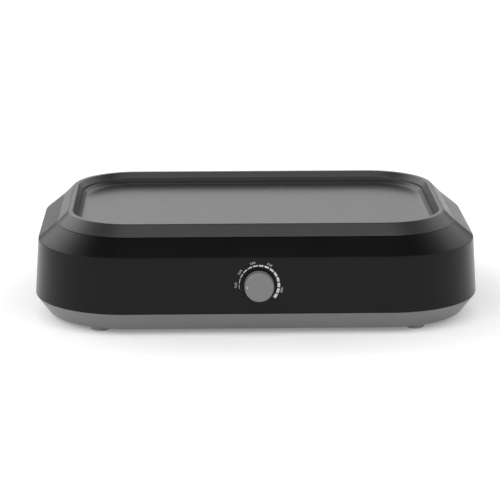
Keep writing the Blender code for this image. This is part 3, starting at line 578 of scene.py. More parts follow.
@dataclass(frozen=True)
class Finish:
    """What every finish has: the material's own name, colour and gloss.

    Attributes:
        name: The material and how its surface was made.
        colour: Its main colour, as sRGB hex.
        tone: A second colour that it drifts to, as sRGB hex.
        roughness: Its mean roughness.
        unevenness: How much the roughness varies.
        grain: The size of its surface texture.
        depth: The height of its surface texture.
        metallic: Whether it is a bare metal.
        ior: Its index of refraction.
        specular: Its specular level.
        stretch: How much the texture is squeezed along each axis.
        patch: The size of the slow drifts in colour and gloss.
    """

    name: str
    colour: str
    tone: str
    roughness: float
    unevenness: float = 0.05
    grain: float = 0.8 * MM
    depth: float = 0.01 * MM
    metallic: float = 0.0
    ior: float = 1.5
    specular: float = 0.5
    stretch: tuple[float, float, float] = (1.0, 1.0, 1.0)
    patch: float = 45 * MM

    def extra(self, tree: Tree, shader: Node, place: Socket) -> None:
        """Adds what only this finish has. A plain one adds nothing."""

    def material(self) -> bpy.types.Material:
        """Makes the material once, from noise on the piece's own coordinates.

        Returns:
            The material.
        """
        found = bpy.data.materials.get(self.name)
        if found:
            return found
        made = bpy.data.materials.new(self.name)
        made.use_nodes = True
        tree = made.node_tree
        shader = tree.nodes["Principled BSDF"]
        shader.inputs["Metallic"].default_value = self.metallic
        shader.inputs["IOR"].default_value = self.ior
        shader.inputs["Specular IOR Level"].default_value = self.specular
        coordinates = add_node(tree, "TexCoord")
        own = coordinates.outputs["Object"]
        mapping = add_node(tree, "Mapping", {"Scale": self.stretch}, {"Vector": own})
        place = mapping.outputs["Vector"]
        drift = add_node(tree, "TexNoise", {"Scale": 1 / self.patch, "Detail": 3.0}, {"Vector": place})
        grain = add_node(tree, "TexNoise", {"Scale": 1 / self.grain, "Detail": 2.0}, {"Vector": place})
        colour = add_node(
            tree,
            "Mix",
            {"data_type": "RGBA", 6: linear(self.colour), 7: linear(self.tone)},
            {"Factor": drift.outputs["Fac"]},
        )
        least, most = max(self.roughness - self.unevenness, 0.02), min(self.roughness + self.unevenness, 1.0)
        gloss = remap(tree, drift.outputs["Fac"], (0.3, 0.7), (least, most))
        relief = {"Strength": 0.6, "Distance": self.depth}
        bump = add_node(tree, "Bump", relief, {"Height": grain.outputs["Fac"]})
        tree.links.new(colour.outputs[2], shader.inputs["Base Color"])
        tree.links.new(gloss, shader.inputs["Roughness"])
        tree.links.new(bump.outputs["Normal"], shader.inputs["Normal"])
        self.extra(tree, shader, place)
        return made


@dataclass(frozen=True)
class Coating(Finish):
    """A sprayed and baked film, whose pigment shows as fine pale flecks.

    Attributes:
        fleck: The flecks' colour, as sRGB hex.
        fleck_size: Their size.
    """

    fleck: str = "#4a4a4b"
    fleck_size: float = 0.9 * MM

    def extra(self, tree: Tree, shader: Node, place: Socket) -> None:
        """Mixes sparse flecks into the colour."""
        cells = add_node(tree, "TexVoronoi", {"Scale": 1 / self.fleck_size}, {"Vector": place})
        dots = remap(tree, cells.outputs["Distance"], (0.12, 0.2), (0.7, 0.0))
        tint(tree, shader, dots, self.fleck)


@dataclass(frozen=True)
class HeatTinted(Finish):
    """A sheath that the heat has tinted along its length.

    Attributes:
        straw: The colour of its less heated stretches, as sRGB hex.
        wave: The length of a stretch.
    """

    straw: str = "#5a4a3c"
    wave: float = 90 * MM

    def extra(self, tree: Tree, shader: Node, place: Socket) -> None:
        """Mixes long stretches of straw tint into the colour."""
        waves = add_node(tree, "TexNoise", {"Scale": 1 / self.wave, "Detail": 1.0}, {"Vector": place})
        tint(tree, shader, remap(tree, waves.outputs["Fac"], (0.4, 0.7), (0.0, 0.8)), self.straw)


@dataclass(frozen=True)
class Woven(Finish):
    """A woven sleeve, with threads round and along it.

    Attributes:
        thread: The spacing of the threads.
    """

    thread: float = 0.8 * MM

    def extra(self, tree: Tree, shader: Node, place: Socket) -> None:
        """Raises crossing threads with two sets of bands."""
        scale = 0.5 / self.thread
        ways = ({"bands_direction": way, "Scale": scale} for way in ("X", "DIAGONAL"))
        waves = (add_node(tree, "TexWave", way, {"Vector": place}) for way in ways)
        bands = {i: wave.outputs["Fac"] for i, wave in enumerate(waves)}
        height = add_node(tree, "Math", {"operation": "MAXIMUM"}, bands).outputs["Value"]
        bump = add_node(tree, "Bump", {"Strength": 0.5, "Distance": 0.2 * MM}, {"Height": height})
        tree.links.new(bump.outputs["Normal"], shader.inputs["Normal"])


# Sprayed non-stick film: a satin black that mirrors what is low behind it at a glance
NON_STICK = Coating(
    "Baked non-stick coating",
    "#29292a",
    "#2c2c2d",
    0.26,
    0.01,
    grain=1.1 * MM,
    depth=0.004 * MM,
    specular=0.32,
)
# Black polypropylene from a polished mould: nearly no colour of its own, so it shows only what it mirrors
BLACK_PLASTIC = Finish(
    "Moulded black polypropylene",
    "#080809",
    "#0a0a0b",
    0.25,
    0.015,
    grain=0.9 * MM,
    depth=0.003 * MM,
    specular=0.2,
)
# Grey polypropylene from a spark-eroded mould: a fine even texture and a soft sheen
GREY_PLASTIC = Finish("Moulded grey polypropylene", "#6c6c6e", "#727274", 0.42, 0.05, depth=0.02 * MM)
# Grey ABS: the knob is a little paler and smoother than the tray
KNOB_PLASTIC = Finish("Moulded grey ABS", "#757577", "#7a7a7c", 0.4, 0.04, grain=0.7 * MM, ior=1.54)
# Pad-printed ink: flat, pale and thin
INK = Finish("Pad-printed pale grey ink", "#d2d2d2", "#dadada", 0.55, 0.04, grain=0.4 * MM, depth=0.004 * MM)
# Silicone rubber: dull, with a bloom that evens its sheen. Its grey is painted paler than the tray's: painted
# light on feet that sit in the shade under the casing
RUBBER = Finish("Grey silicone rubber", "#8a8a8c", "#929294", 0.75, 0.08, depth=0.03 * MM, ior=1.43)
# Aluminised steel sheet: a bright matt skin with a rolling grain
SHEET = Finish(
    "Aluminised steel sheet",
    "#b4b6b8",
    "#a2a4a7",
    0.34,
    0.1,
    grain=0.5 * MM,
    depth=0.01 * MM,
    metallic=1.0,
    stretch=(0.06, 1.0, 1.0),
)
# Incoloy sheath after a few hot runs: dark olive grey with straw stretches
SHEATH = HeatTinted("Heat-tinted steel sheath", "#3d3c39", "#4b4945", 0.42, 0.1, metallic=1.0)
# Zinc plating: bright with a faint cold haze
ZINC = Finish("Zinc-plated steel", "#c2c4c8", "#b2b5ba", 0.28, 0.1, depth=0.006 * MM, metallic=1.0)
# Nickel plate on the pins and the sensor: warmer and smoother than zinc
NICKEL = Finish("Nickel-plated brass", "#cfc9bd", "#c2bcb0", 0.22, 0.08, depth=0.004 * MM, metallic=1.0)
# Drawn brass: the warm yellow of the shaft, tabs and capillary
BRASS = Finish("Drawn brass", "#c7a55c", "#b4934f", 0.3, 0.1, depth=0.006 * MM, metallic=1.0)
# Steatite: a matt cream that sets off the element's ends
CERAMIC = Finish("Steatite ceramic", "#dad5c8", "#cfc9ba", 0.5, 0.08, depth=0.02 * MM)
# Brown phenolic: the thermostat's body, with a waxy sheen
PHENOLIC = Finish("Moulded brown phenolic", "#3f2c20", "#35251b", 0.45, 0.08, depth=0.02 * MM, ior=1.6)
# Black nylon: the inlet, duller than the housing round it
NYLON = Finish("Moulded black nylon", "#131314", "#19191a", 0.38, 0.05, depth=0.015 * MM, ior=1.53)
# Glass sleeve: pale, dry and visibly woven
SLEEVE = Woven("Woven glass sleeve", "#dcd8cc", "#cfcabc", 0.8, 0.08)
# Silicone leads: a soft even colour for each wire
LEADS = {
    f"{wire}_lead": Finish(f"{colour} silicone lead", first, second, 0.5)
    for wire, colour, first, second in (
        ("live", "Brown", "#5c3a26", "#523321"),
        ("supply", "Brown", "#5c3a26", "#523321"),
        ("neutral", "Blue", "#284f8c", "#24467c"),
        ("earth", "Green", "#3c7a34", "#35702e"),
        ("switched", "White", "#d2d1cb", "#c8c6bf"),
    )
}


# ---------------------------------------------------------------- assemblies


@dataclass
class Assembly:
    """A group of pieces on the fixed frame, with a way to hand each one over."""

    skin: Skin

    def hand_over(self, piece: Piece, finish: Finish, body: Body, slot: str, *nodes: str) -> None:
        """Gives a finished piece its material and its body, and hides the nodes that it stands for.

        Args:
            piece: The finished piece.
            finish: Its finish.
            body: The body that it moves with.
            slot: The record's material slot; not used.
            *nodes: The frame's nodes that it replaces.
        """
        piece.data.materials.clear()
        piece.data.materials.append(finish.material())
        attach(piece, body.value)
        if nodes:
            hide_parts(*nodes)
        LOG.info("%s in %s", piece.name, finish.name)


@dataclass
class Plate(Assembly):
    """The cast plate that lifts off."""

    flange_radius: float = 75.7 * MM
    rim_radius: float = 66.1 * MM
    seat_inset: float = 23.74 * MM
    flange_run: float = 11.3 * MM
    flange_rise: float = 11.15 * MM
    rim_width: float = 4.5 * MM
    bevel: float = 4.9 * MM
    bevel_drop: float = 5.8 * MM
    wall_drop: float = 1.8 * MM
    wall_run: float = 0.4 * MM
    slope_drop: float = 2.9 * MM
    slope_run: float = 2.9 * MM
    cove_run: float = 5.8 * MM
    well_depth: float = 11.8 * MM
    wall: float = 3 * MM
    cove_steps: int = 9

    def build(self) -> None:
        """Lofts the plate from its flange over the rim and down into the well, then back underneath."""
        low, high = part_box("griddle_plate")
        seat_z = high.z - self.flange_rise
        seat = Outline(self.seat_inset, seat_z, self.flange_radius, 0.45 * MM)
        rim = Outline(self.seat_inset + self.flange_run, high.z, self.rim_radius, 0.9 * MM)
        inner = rim.moved(self.rim_width, high.z, 0.5 * MM)
        bevel_foot = inner.moved(self.bevel, high.z - self.bevel_drop, 0.9 * MM)
        wall_foot = bevel_foot.moved(self.wall_run, bevel_foot.z - self.wall_drop, 0.4 * MM)
        slope_foot = wall_foot.moved(self.slope_run, wall_foot.z - self.slope_drop)
        floor_z = high.z - self.well_depth
        drop = slope_foot.z - floor_z
        shares = [i / self.cove_steps for i in range(1, self.cove_steps + 1)]
        cove = [slope_foot.moved(self.cove_run * s, slope_foot.z - drop * s * (2 - s)) for s in shares]
        under_rim = high.z - self.wall
        foot = self.wall * math.hypot(self.flange_run, self.flange_rise) / self.flange_rise
        run = (under_rim - seat_z) * self.flange_run / self.flange_rise
        underside = [
            Outline(seat.inset + foot, seat_z, seat.radius - foot),
            seat.moved(foot + run, under_rim),
            inner.moved(-self.wall / 2, under_rim),
            bevel_foot.moved(-self.wall, bevel_foot.z - self.wall / 2),
            slope_foot.moved(-self.wall, floor_z),
            slope_foot.moved(self.wall / 2, low.z, 1.0 * MM),
        ]
        outlines = [*reversed(cove), slope_foot, wall_foot, bevel_foot, inner, rim, seat, *underside]
        plate = settle(self.skin.loft("cast_plate", outlines, capped=True), angle=60)
        self.hand_over(plate, NON_STICK, Body.PLATE, "non_stick", "griddle_plate")


@dataclass
class Casing(Assembly):
    """The black housing and the grey tray, with their fastenings and feet."""

    gap: float = 0.3 * MM
    wall: float = 2.5 * MM
    draft: float = 3.54 * MM
    wall_height: float = 57.1 * MM
    tray_taper: float = 13.2 * MM
    tray_radius: float = 86.9 * MM
    parting_radius: float = 95.5 * MM
    crease_radius: float = 95.2 * MM
    seat_radius: float = 75.7 * MM
    seat_inset: float = 23.74 * MM
    lip_inset: float = 30.2 * MM
    lip_depth: float = 9.5 * MM
    lip_rise: float = 1.5 * MM
    tongue_height: float = 4.2 * MM
    tongue_wall: float = 2 * MM
    dial_clearance: float = 1.9 * MM
    dial_recess: float = 1 * MM
    bushing_hole: float = 5.15 * MM
    vent_length: float = 38 * MM
    vent_width: float = 4 * MM
    vent_pitch: float = 16 * MM
    vent_row: float = 38 * MM
    vent_count: int = 8
    parting_edge: float = 0.35 * MM
    crease_edge: float = 0.5 * MM
    seat_edge: float = 0.4 * MM
    lip_edge: float = 0.3 * MM
    foot_edge: float = 0.8 * MM
    flare: float = 0.25 * MM
    sleeve_radius: float = 5.5 * MM
    sleeve_top: float = 30 * MM
    screw_recess: float = 3.8 * MM
    screw_seat: float = 2.3 * MM
    screw_hole: float = 1.95 * MM
    tread_edge: float = 1 * MM
    tread_wall: float = 2.6 * MM
    groove: float = 0.5 * MM

    @property
    def parting_z(self) -> float:
        """The height of the joint between the tray and the housing."""
        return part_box("upper_housing")[0].z - self.gap

    def rear_face(self, z: float) -> Vector:
        """The point at a height on the middle of the rear wall's outer face."""
        inset = self.draft * (z - self.parting_z) / self.wall_height
        return Vector((self.skin.middle.x, self.skin.middle.y + self.skin.half.y - inset, z))

    def build_housing(
        self, dial: Matrix, knob_radius: float, inlet: Matrix, inlet_size: Sequence[float]
    ) -> None:
        """Lofts the housing and cuts the dial's recess and the inlet's opening.

        Args:
            dial: The dial's frame, with Z out of the front wall.
            knob_radius: The knob's radius at the wall.
            inlet: The inlet's frame, with Z out of the rear wall.
            inlet_size: The size of the opening for the inlet's body.
        """
        base_z = self.parting_z + self.gap
        crease_z = self.parting_z + self.wall_height
        seat_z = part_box("griddle_plate")[1].z - Plate.flange_rise - self.gap
        parting = Outline(0, base_z, self.parting_radius, self.parting_edge)
        crease = Outline(self.draft, crease_z, self.crease_radius, self.crease_edge)
        seat = Outline(self.seat_inset, seat_z, self.seat_radius, self.seat_edge)
        lip = seat.moved(self.lip_inset - self.seat_inset, seat_z)
        outlines = [
            parting,
            crease,
            seat,
            lip,
            lip.moved(0, seat_z + self.lip_rise, self.lip_edge),
            lip.moved(self.wall, seat_z + self.lip_rise, self.lip_edge),
            lip.moved(self.wall, seat_z - self.lip_depth, self.lip_edge),
            lip.moved(0, seat_z - self.lip_depth),
            lip.moved(0, seat_z - self.wall),
            seat.moved(self.wall / 3, seat_z - self.wall),
            crease.moved(self.wall, crease_z - self.wall / 2),
            parting.moved(self.wall, base_z),
        ]
        housing = self.skin.loft("housing_shell", outlines, capped=False)
        radius = knob_radius + self.dial_clearance
        recess = add_drum("recess", radius, -self.dial_recess, -self.flare, sides=96)
        with editing(recess):
            # A tiny flare where the recess meets the wall keeps the edge from being razor sharp
            pick(recess, Element.FACE, facing(UP))
            push(2 * self.flare)
            wider = 1 + 2 * self.flare / radius
            bpy.ops.transform.resize(value=(wider, wider, 1), center_override=(0, 0, self.flare))
        hole = add_drum("hole", self.bushing_hole, -2 * self.wall, 2 * self.wall)
        opening = add_block("opening", (*inlet_size, 8 * self.wall), (0, 0, 0))
        for cutter, place in ((recess, dial), (hole, dial), (opening, inlet)):
            cutter.data.transform(place)
            carve(housing, cutter)
        self.hand_over(settle(housing), BLACK_PLASTIC, Body.CASING, "black_plastic", "upper_housing")

    def build_tray(self) -> None:
        """Lofts the tray, cuts its vents and adds its screw sleeves."""
        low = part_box("base_tray")[0]
        parting = Outline(0, self.parting_z, self.parting_radius, self.parting_edge)
        foot = Outline(self.tray_taper, low.z, self.tray_radius, self.foot_edge)
        tongue = parting.moved(self.wall + 2 * self.gap, self.parting_z + self.tongue_height)
        outlines = [
            foot,
            parting,
            tongue.moved(0, self.parting_z),
            tongue,
            tongue.moved(self.tongue_wall, tongue.z),
            tongue.moved(self.tongue_wall, self.parting_z - self.wall / 2),
            foot.moved(self.wall, low.z + self.wall),
        ]
        tray = self.skin.loft("tray_shell", outlines, capped=True)
        half_row = (self.vent_count - 1) / 2
        slot = add_block("slot", (self.vent_width, self.vent_length, 4 * self.wall), (0, 0, 0))
        round_corners(slot, UP, 0.49 * self.vent_width, 6)
        for i in range(self.vent_count):
            for side in (-1, 1):
                x = self.skin.middle.x + (i - half_row) * self.vent_pitch
                y = self.skin.middle.y + side * self.vent_row
                place = Matrix.Translation((x, y, low.z + self.wall / 2))
                carve(tray, copy_of(slot, "vent", place))
        bpy.data.objects.remove(slot)
        for node in (n for n in frame["nodes"] if n.startswith("casing_screw")):
            self.add_sleeve(tray, node, low.z)
        self.hand_over(settle(tray), GREY_PLASTIC, Body.CASING, "grey_plastic", "base_tray")

    def add_sleeve(self, tray: Piece, node: str, floor_z: float) -> None:
        """Adds the sleeve round a casing screw and cuts its recess, open at the bottom.

        Args:
            tray: The tray.
            node: The screw's node.
            floor_z: The height of the tray's underside.
        """
        place, seat_z = over(node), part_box(node)[0].z + self.screw_seat
        sleeve = add_drum("sleeve", self.sleeve_radius, floor_z + self.wall / 2, self.sleeve_top, 32)
        recess = add_drum("screw_recess", self.screw_recess, 0, seat_z, 40)
        shaft = add_drum("shaft", self.screw_hole, 0, self.sleeve_top + 1 * MM, 24)
        sleeve.data.transform(place)
        carve(tray, sleeve, Cut.TOGETHER)
        for cutter in (recess, shaft):
            cutter.data.transform(place)
            carve(tray, cutter)

    def build_feet(self) -> None:
        """Shapes one foot, with a rounded tread and a ring groove, and copies it."""
        low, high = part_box("foot_front_left")
        radius = (high.x - low.x) / 2
        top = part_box("base_tray")[0].z - self.gap
        model = add_drum("foot_model", radius, 0, top, 48)
        bevel(model, Element.EDGE, rim_at(0), self.tread_edge, 5)
        bevel(model, Element.EDGE, rim_at(top), self.seat_edge, 3)
        with editing(model):
            pick(model, Element.FACE, facing(DOWN, 0))
            bpy.ops.mesh.inset(thickness=self.tread_wall)
            bpy.ops.mesh.inset(thickness=self.groove, depth=-self.groove)
        settle(model)
        for node in sorted(n for n in frame["nodes"] if n.startswith("foot_")):
            tread = copy_of(model, node.replace("foot", "rubber_foot"), over(node))
            self.hand_over(tread, RUBBER, Body.CASING, "rubber", node)
        bpy.data.objects.remove(model)


@dataclass
class Dial(Assembly):
    """The knob, its pointer and the printed scale round it."""

    knob_radius: float = 14.9 * MM
    taper: float = 0.3 * MM
    height: float = 13 * MM
    back: float = -0.5 * MM
    edge: float = 1.6 * MM
    shell: float = 2.1 * MM
    face_wall: float = 4 * MM
    pointer_radius: float = 0.9 * MM
    pointer_inset: float = 3 * MM
    scale_radius: float = 19.9 * MM
    scale_thin: float = 0.3 * MM
    scale_thick: float = 3.0 * MM
    scale_start: float = 192.4
    segment_pitch: float = 16.7
    segment_gap: float = 3.4
    segment_count: int = 14
    back_edge: float = 0.4 * MM
    hub_gap: float = 7 * MM
    hub_length: float = 6 * MM
    pocket: float = 0.3 * MM
    pointer_gap: float = 0.05 * MM
    pointer_edge: float = 0.15 * MM
    ink: float = 0.03 * MM
    cap_height: float = 0.7
    letter_space: float = 1.3
    figure_radius: float = 23.3 * MM
    figure_height: float = 2.1 * MM
    figures: tuple[tuple[str, float], ...] = (
        ("200", 180.0),
        ("250", 145.0),
        ("300", 106.0),
        ("350", 63.0),
        ("400", -12.0),
    )

    @property
    def place(self) -> Matrix:
        """The dial's frame: Z out of the wall along the knob's axis, X to the right, Y up the wall."""
        joint = next(j for j in frame["joints"] if j["name"] == "knob_turn")
        outwards = -Vector(joint["axis"]).normalized()
        right = Vector((1, 0, 0))
        turn = Matrix((right, outwards.cross(right), outwards)).transposed().to_4x4()
        return Matrix.Translation(joint["pos_m"]) @ turn

    def build_knob(self) -> None:
        """Shapes the knob from a drum: a slight taper, a soft face edge, and a hollow with a hub behind."""
        knob = add_drum("knob_cap", self.knob_radius, self.back, self.height, 128)
        share = (self.knob_radius - self.taper) / self.knob_radius
        with editing(knob):
            pick(knob, Element.FACE, facing(UP))
            bpy.ops.transform.resize(value=(share, share, 1), center_override=(0, 0, self.height))
        bevel(knob, Element.EDGE, rim_at(self.height), self.edge, 8)
        bevel(knob, Element.EDGE, rim_at(self.back), self.back_edge, 3)
        with editing(knob):
            pick(knob, Element.FACE, facing(DOWN, -self.back))
            bpy.ops.mesh.inset(thickness=self.shell)
            push(self.height - self.face_wall - self.back)
            bpy.ops.mesh.inset(thickness=self.hub_gap)
            push(-self.hub_length)
        x, floor = self.pointer_inset - self.knob_radius, self.height - self.pocket
        pocket = add_drum("pocket", self.pointer_radius, floor, self.height + 2 * MM, 32)
        pocket.data.transform(Matrix.Translation((x, 0, 0)))
        carve(knob, pocket)
        self.hand_over(settle(knob, self.place), KNOB_PLASTIC, Body.KNOB, "knob_plastic", "control_knob")
        dot = add_drum("pointer_inlay", self.pointer_radius - self.pointer_gap, floor, self.height, 32)
        bevel(dot, Element.EDGE, rim_at(self.height), self.pointer_edge, 3)
        dot.data.transform(Matrix.Translation((x, 0, -self.pointer_gap)))
        self.hand_over(settle(dot, self.place), INK, Body.KNOB, "pointer", "pointer_dot")

    def scale_width(self, angle: float) -> float:
        """The printed band's width at an angle, which grows steadily clockwise.

        Args:
            angle: Degrees, anticlockwise from the right.

        Returns:
            The width.
        """
        share = (self.scale_start - angle) / (self.segment_pitch * self.segment_count)
        return self.scale_thin + (self.scale_thick - self.scale_thin) * share

    def build_scale(self) -> None:
        """Prints the band: each segment is a strip of ink that is laid round the dial."""
        bpy.ops.object.select_all(action="DESELECT")
        bpy.ops.mesh.primitive_grid_add(x_subdivisions=8, y_subdivisions=1, size=1)
        strip = added("strip")
        segments = []
        for i in range(self.segment_count):
            start = self.scale_start - i * self.segment_pitch - self.segment_gap / 2
            segment = copy_of(strip, f"segment_{i}", Matrix.Identity(4))
            for vertex in segment.data.vertices:
                angle = start - (self.segment_pitch - self.segment_gap) * (vertex.co.x + 0.5)
                radius = self.scale_radius + self.scale_width(angle) * vertex.co.y
                turn = math.radians(angle)
                vertex.co = (radius * math.cos(turn), radius * math.sin(turn), 0)
            segments.append(segment)
        bpy.data.objects.remove(strip)
        self.print_on_wall("dial_scale", segments)

    def build_figures(self) -> None:
        """Prints plain temperatures round the band, each with its foot towards the dial."""
        made = []
        for text, angle in self.figures:
            bpy.ops.object.select_all(action="DESELECT")
            bpy.ops.object.text_add()
            figure = bpy.context.active_object
            figure.data.body = text
            figure.data.size = self.figure_height / self.cap_height
            figure.data.align_x = "CENTER"
            figure.data.space_character = self.letter_space
            bpy.ops.object.convert(target="MESH")
            figure = bpy.context.active_object
            turn = math.radians(angle)
            spot = Vector((math.cos(turn), math.sin(turn), 0)) * self.figure_radius
            up = Matrix.Translation((0, -self.figure_height / 2, 0))
            figure.data.transform(Matrix.Translation(spot) @ Matrix.Rotation(turn - math.pi / 2, 4, "Z") @ up)
            made.append(figure)
        self.print_on_wall("dial_figures", made)

    def print_on_wall(self, name: str, flats: list[Piece]) -> None:
        """Joins flat shapes, gives them the ink's thickness and lays them on the wall.

        Args:
            name: The printed piece's name.
            flats: Flat meshes in the dial's own plane.
        """
        bpy.ops.object.select_all(action="DESELECT")
        for flat in flats:
            flat.select_set(True)
        bpy.context.view_layer.objects.active = flats[0]
        bpy.ops.object.join()
        piece = bpy.context.active_object
        piece.name = name
        with editing(piece):
            bpy.ops.mesh.select_all(action="SELECT")
            bpy.ops.mesh.normals_make_consistent(inside=False)
            push(self.ink)
        lift = Matrix.Translation((0, 0, CLOSE))
        self.hand_over(settle(piece, self.place @ lift), INK, Body.CASING, "pointer")


@dataclass
class Inlet(Assembly):
    """The mains inlet on the rear wall."""

    x: float = 60 * MM
    z: float = 50 * MM
    gap: float = 0.3 * MM
    flange: tuple[float, float, float] = (50 * MM, 30 * MM, 2.2 * MM)
    body: tuple[float, float, float] = (34 * MM, 24 * MM, 20 * MM)
    socket: tuple[float, float, float] = (27 * MM, 17 * MM, 17 * MM)
    corner: float = 4 * MM
    screw_x: float = 20.8 * MM
    screw_hole: float = 1.75 * MM
    flange_edge: float = 0.6 * MM
    key_corner: float = 4.5 * MM
    pin_corner: float = 0.35 * MM
    pin_tip: float = 0.5 * MM

    def place(self, casing: Casing) -> Matrix:
        """The inlet's frame: Z out of the rear wall and Y up it.

        Args:
            casing: The casing that it is set in.

        Returns:
            The frame.
        """
        spot = casing.rear_face(self.z) + Vector((self.x, 0, 0))
        up_wall = Vector((0, -casing.draft, casing.wall_height)).normalized()
        outwards = Vector((-1, 0, 0)).cross(up_wall)
        turn = Matrix((Vector((-1, 0, 0)), up_wall, outwards)).transposed().to_4x4()
        return Matrix.Translation(spot) @ turn

    def build(self, casing: Casing) -> None:
        """Shapes the flange and body, and cuts the socket with its two sloping corners."""
        place = self.place(casing)
        top = self.gap + self.flange[2]
        flange = add_block("inlet_frame", self.flange, (0, 0, self.gap + self.flange[2] / 2))
        round_corners(flange, UP, self.corner, 8)
        bevel(flange, Element.FACE, facing(UP), self.flange_edge, 3)
        depth = self.body[2] + 2 * self.gap
        body = add_block("body", (*self.body[:2], depth), (0, 0, self.gap - self.body[2] / 2))
        carve(flange, body, Cut.TOGETHER)
        floor = top - self.socket[2]
        socket = add_block("socket", (*self.socket[:2], 2 * self.socket[2]), (0, 0, floor + self.socket[2]))

        def upper_corner(edge: Edge) -> bool:
            """Whether an edge runs along the socket's depth at its upper side."""
            start, end = (v.co for v in edge.verts)
            return start.y > 0 and start.xy == end.xy

        bevel(socket, Element.EDGE, upper_corner, self.key_corner, 1)
        carve(flange, socket)
        for side in (-1, 1):
            hole = add_drum("hole", self.screw_hole, -8 * MM, 8 * MM, 32)
            hole.data.transform(Matrix.Translation((side * self.screw_x, 0, 0)))
            carve(flange, hole)
        self.hand_over(settle(flange, place), NYLON, Body.CASING, "inlet_plastic", "power_inlet")
        for pin in ("live", "neutral", "earth"):
            self.build_pin(f"inlet_pin_{pin}", place)

    def build_pin(self, node: str, place: Matrix) -> None:
        """Shapes one flat pin with a chamfered tip, in the room that the frame's pin takes.

        Args:
            node: The frame's pin.
            place: The inlet's frame.
        """
        inverse = place.inverted()
        corners = [inverse @ v.co for v in frame["nodes"][node].data.vertices]
        low = Vector(min(c[i] for c in corners) for i in range(3))
        high = Vector(max(c[i] for c in corners) for i in range(3))
        pin = add_block(node.replace("inlet_pin", "flat_pin"), high - low, (low + high) / 2)
        round_corners(pin, UP, self.pin_corner, 3)
        bevel(pin, Element.FACE, facing(UP), self.pin_tip, 2)
        self.hand_over(settle(pin, place), NICKEL, Body.CASING, "bright_steel", node)


@dataclass
class Screws(Assembly):
    """Every pan-head screw that can be seen, each with its cross recess."""

    dome: float = 0.62
    cross_length: float = 1.25
    flute: float = 0.22
    seat: float = 2 * MM

    def model(self, radius: float, height: float, shank: float, length: float) -> Piece:
        """Shapes one screw about the Z axis, its head's seat at the origin and its shank below.

        Args:
            radius: The head's radius.
            height: The head's height.
            shank: The shank's radius.
            length: The shank's length.

        Returns:
            The screw.
        """
        screw = add_drum("screw_model", radius, 0, height, 40)
        bevel(screw, Element.EDGE, rim_at(height), self.dome * height, 6)
        with editing(screw):
            pick(screw, Element.FACE, facing(DOWN))
            bpy.ops.mesh.inset(thickness=radius - shank)
            push(-length)
        for turn in (0, math.pi / 2):
            size = (self.cross_length * radius, self.flute * radius, height)
            cross = add_block("cross", size, (0, 0, height * 0.95))
            with editing(cross):
                pick(cross, Element.FACE, facing(DOWN))
                bpy.ops.transform.resize(value=(0.45, 0.7, 1), center_override=(0, 0, height * 0.45))
            cross.data.transform(Matrix.Rotation(turn, 4, "Z"))
            carve(screw, cross)
        return settle(screw)

    def build(self, inlet: Inlet, inlet_place: Matrix) -> None:
        """Places the screws of the inlet, the reflector pan and the tray.

        Args:
            inlet: The inlet, for where its screws are.
            inlet_place: The inlet's frame.
        """
        small = self.model(2.6 * MM, 1.4 * MM, 1.4 * MM, 9 * MM)
        for side, name in ((-1, "a"), (1, "b")):
            seat = Matrix.Translation((side * inlet.screw_x, 0, inlet.flange[2] + 2 * inlet.gap))
            spun = Matrix.Rotation(math.radians(25 + 30 * side), 4, "Z")
            head = copy_of(small, f"inlet_fixing_{name}", inlet_place @ seat @ spun)
            self.hand_over(head, ZINC, Body.CASING, "bright_steel", f"inlet_screw_{name}")
        long = self.model(3.2 * MM, self.seat, 1.6 * MM, 11 * MM)
        nodes = sorted(n for n in frame["nodes"] if n.startswith(("pan_screw", "casing_screw")))
        for i, node in enumerate(nodes):
            low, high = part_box(node)
            spun = Matrix.Rotation(math.radians(37 * i), 4, "Z")
            if node.startswith("pan"):
                place = over(node, high.z - self.seat) @ spun
            else:
                place = over(node, low.z + self.seat) @ Matrix.Rotation(math.pi, 4, "X") @ spun
            fixing = copy_of(long, node.replace("screw", "fixing"), place)
            self.hand_over(fixing, ZINC, Body.CASING, "bright_steel", node)
        for model in (small, long):
            bpy.data.objects.remove(model)


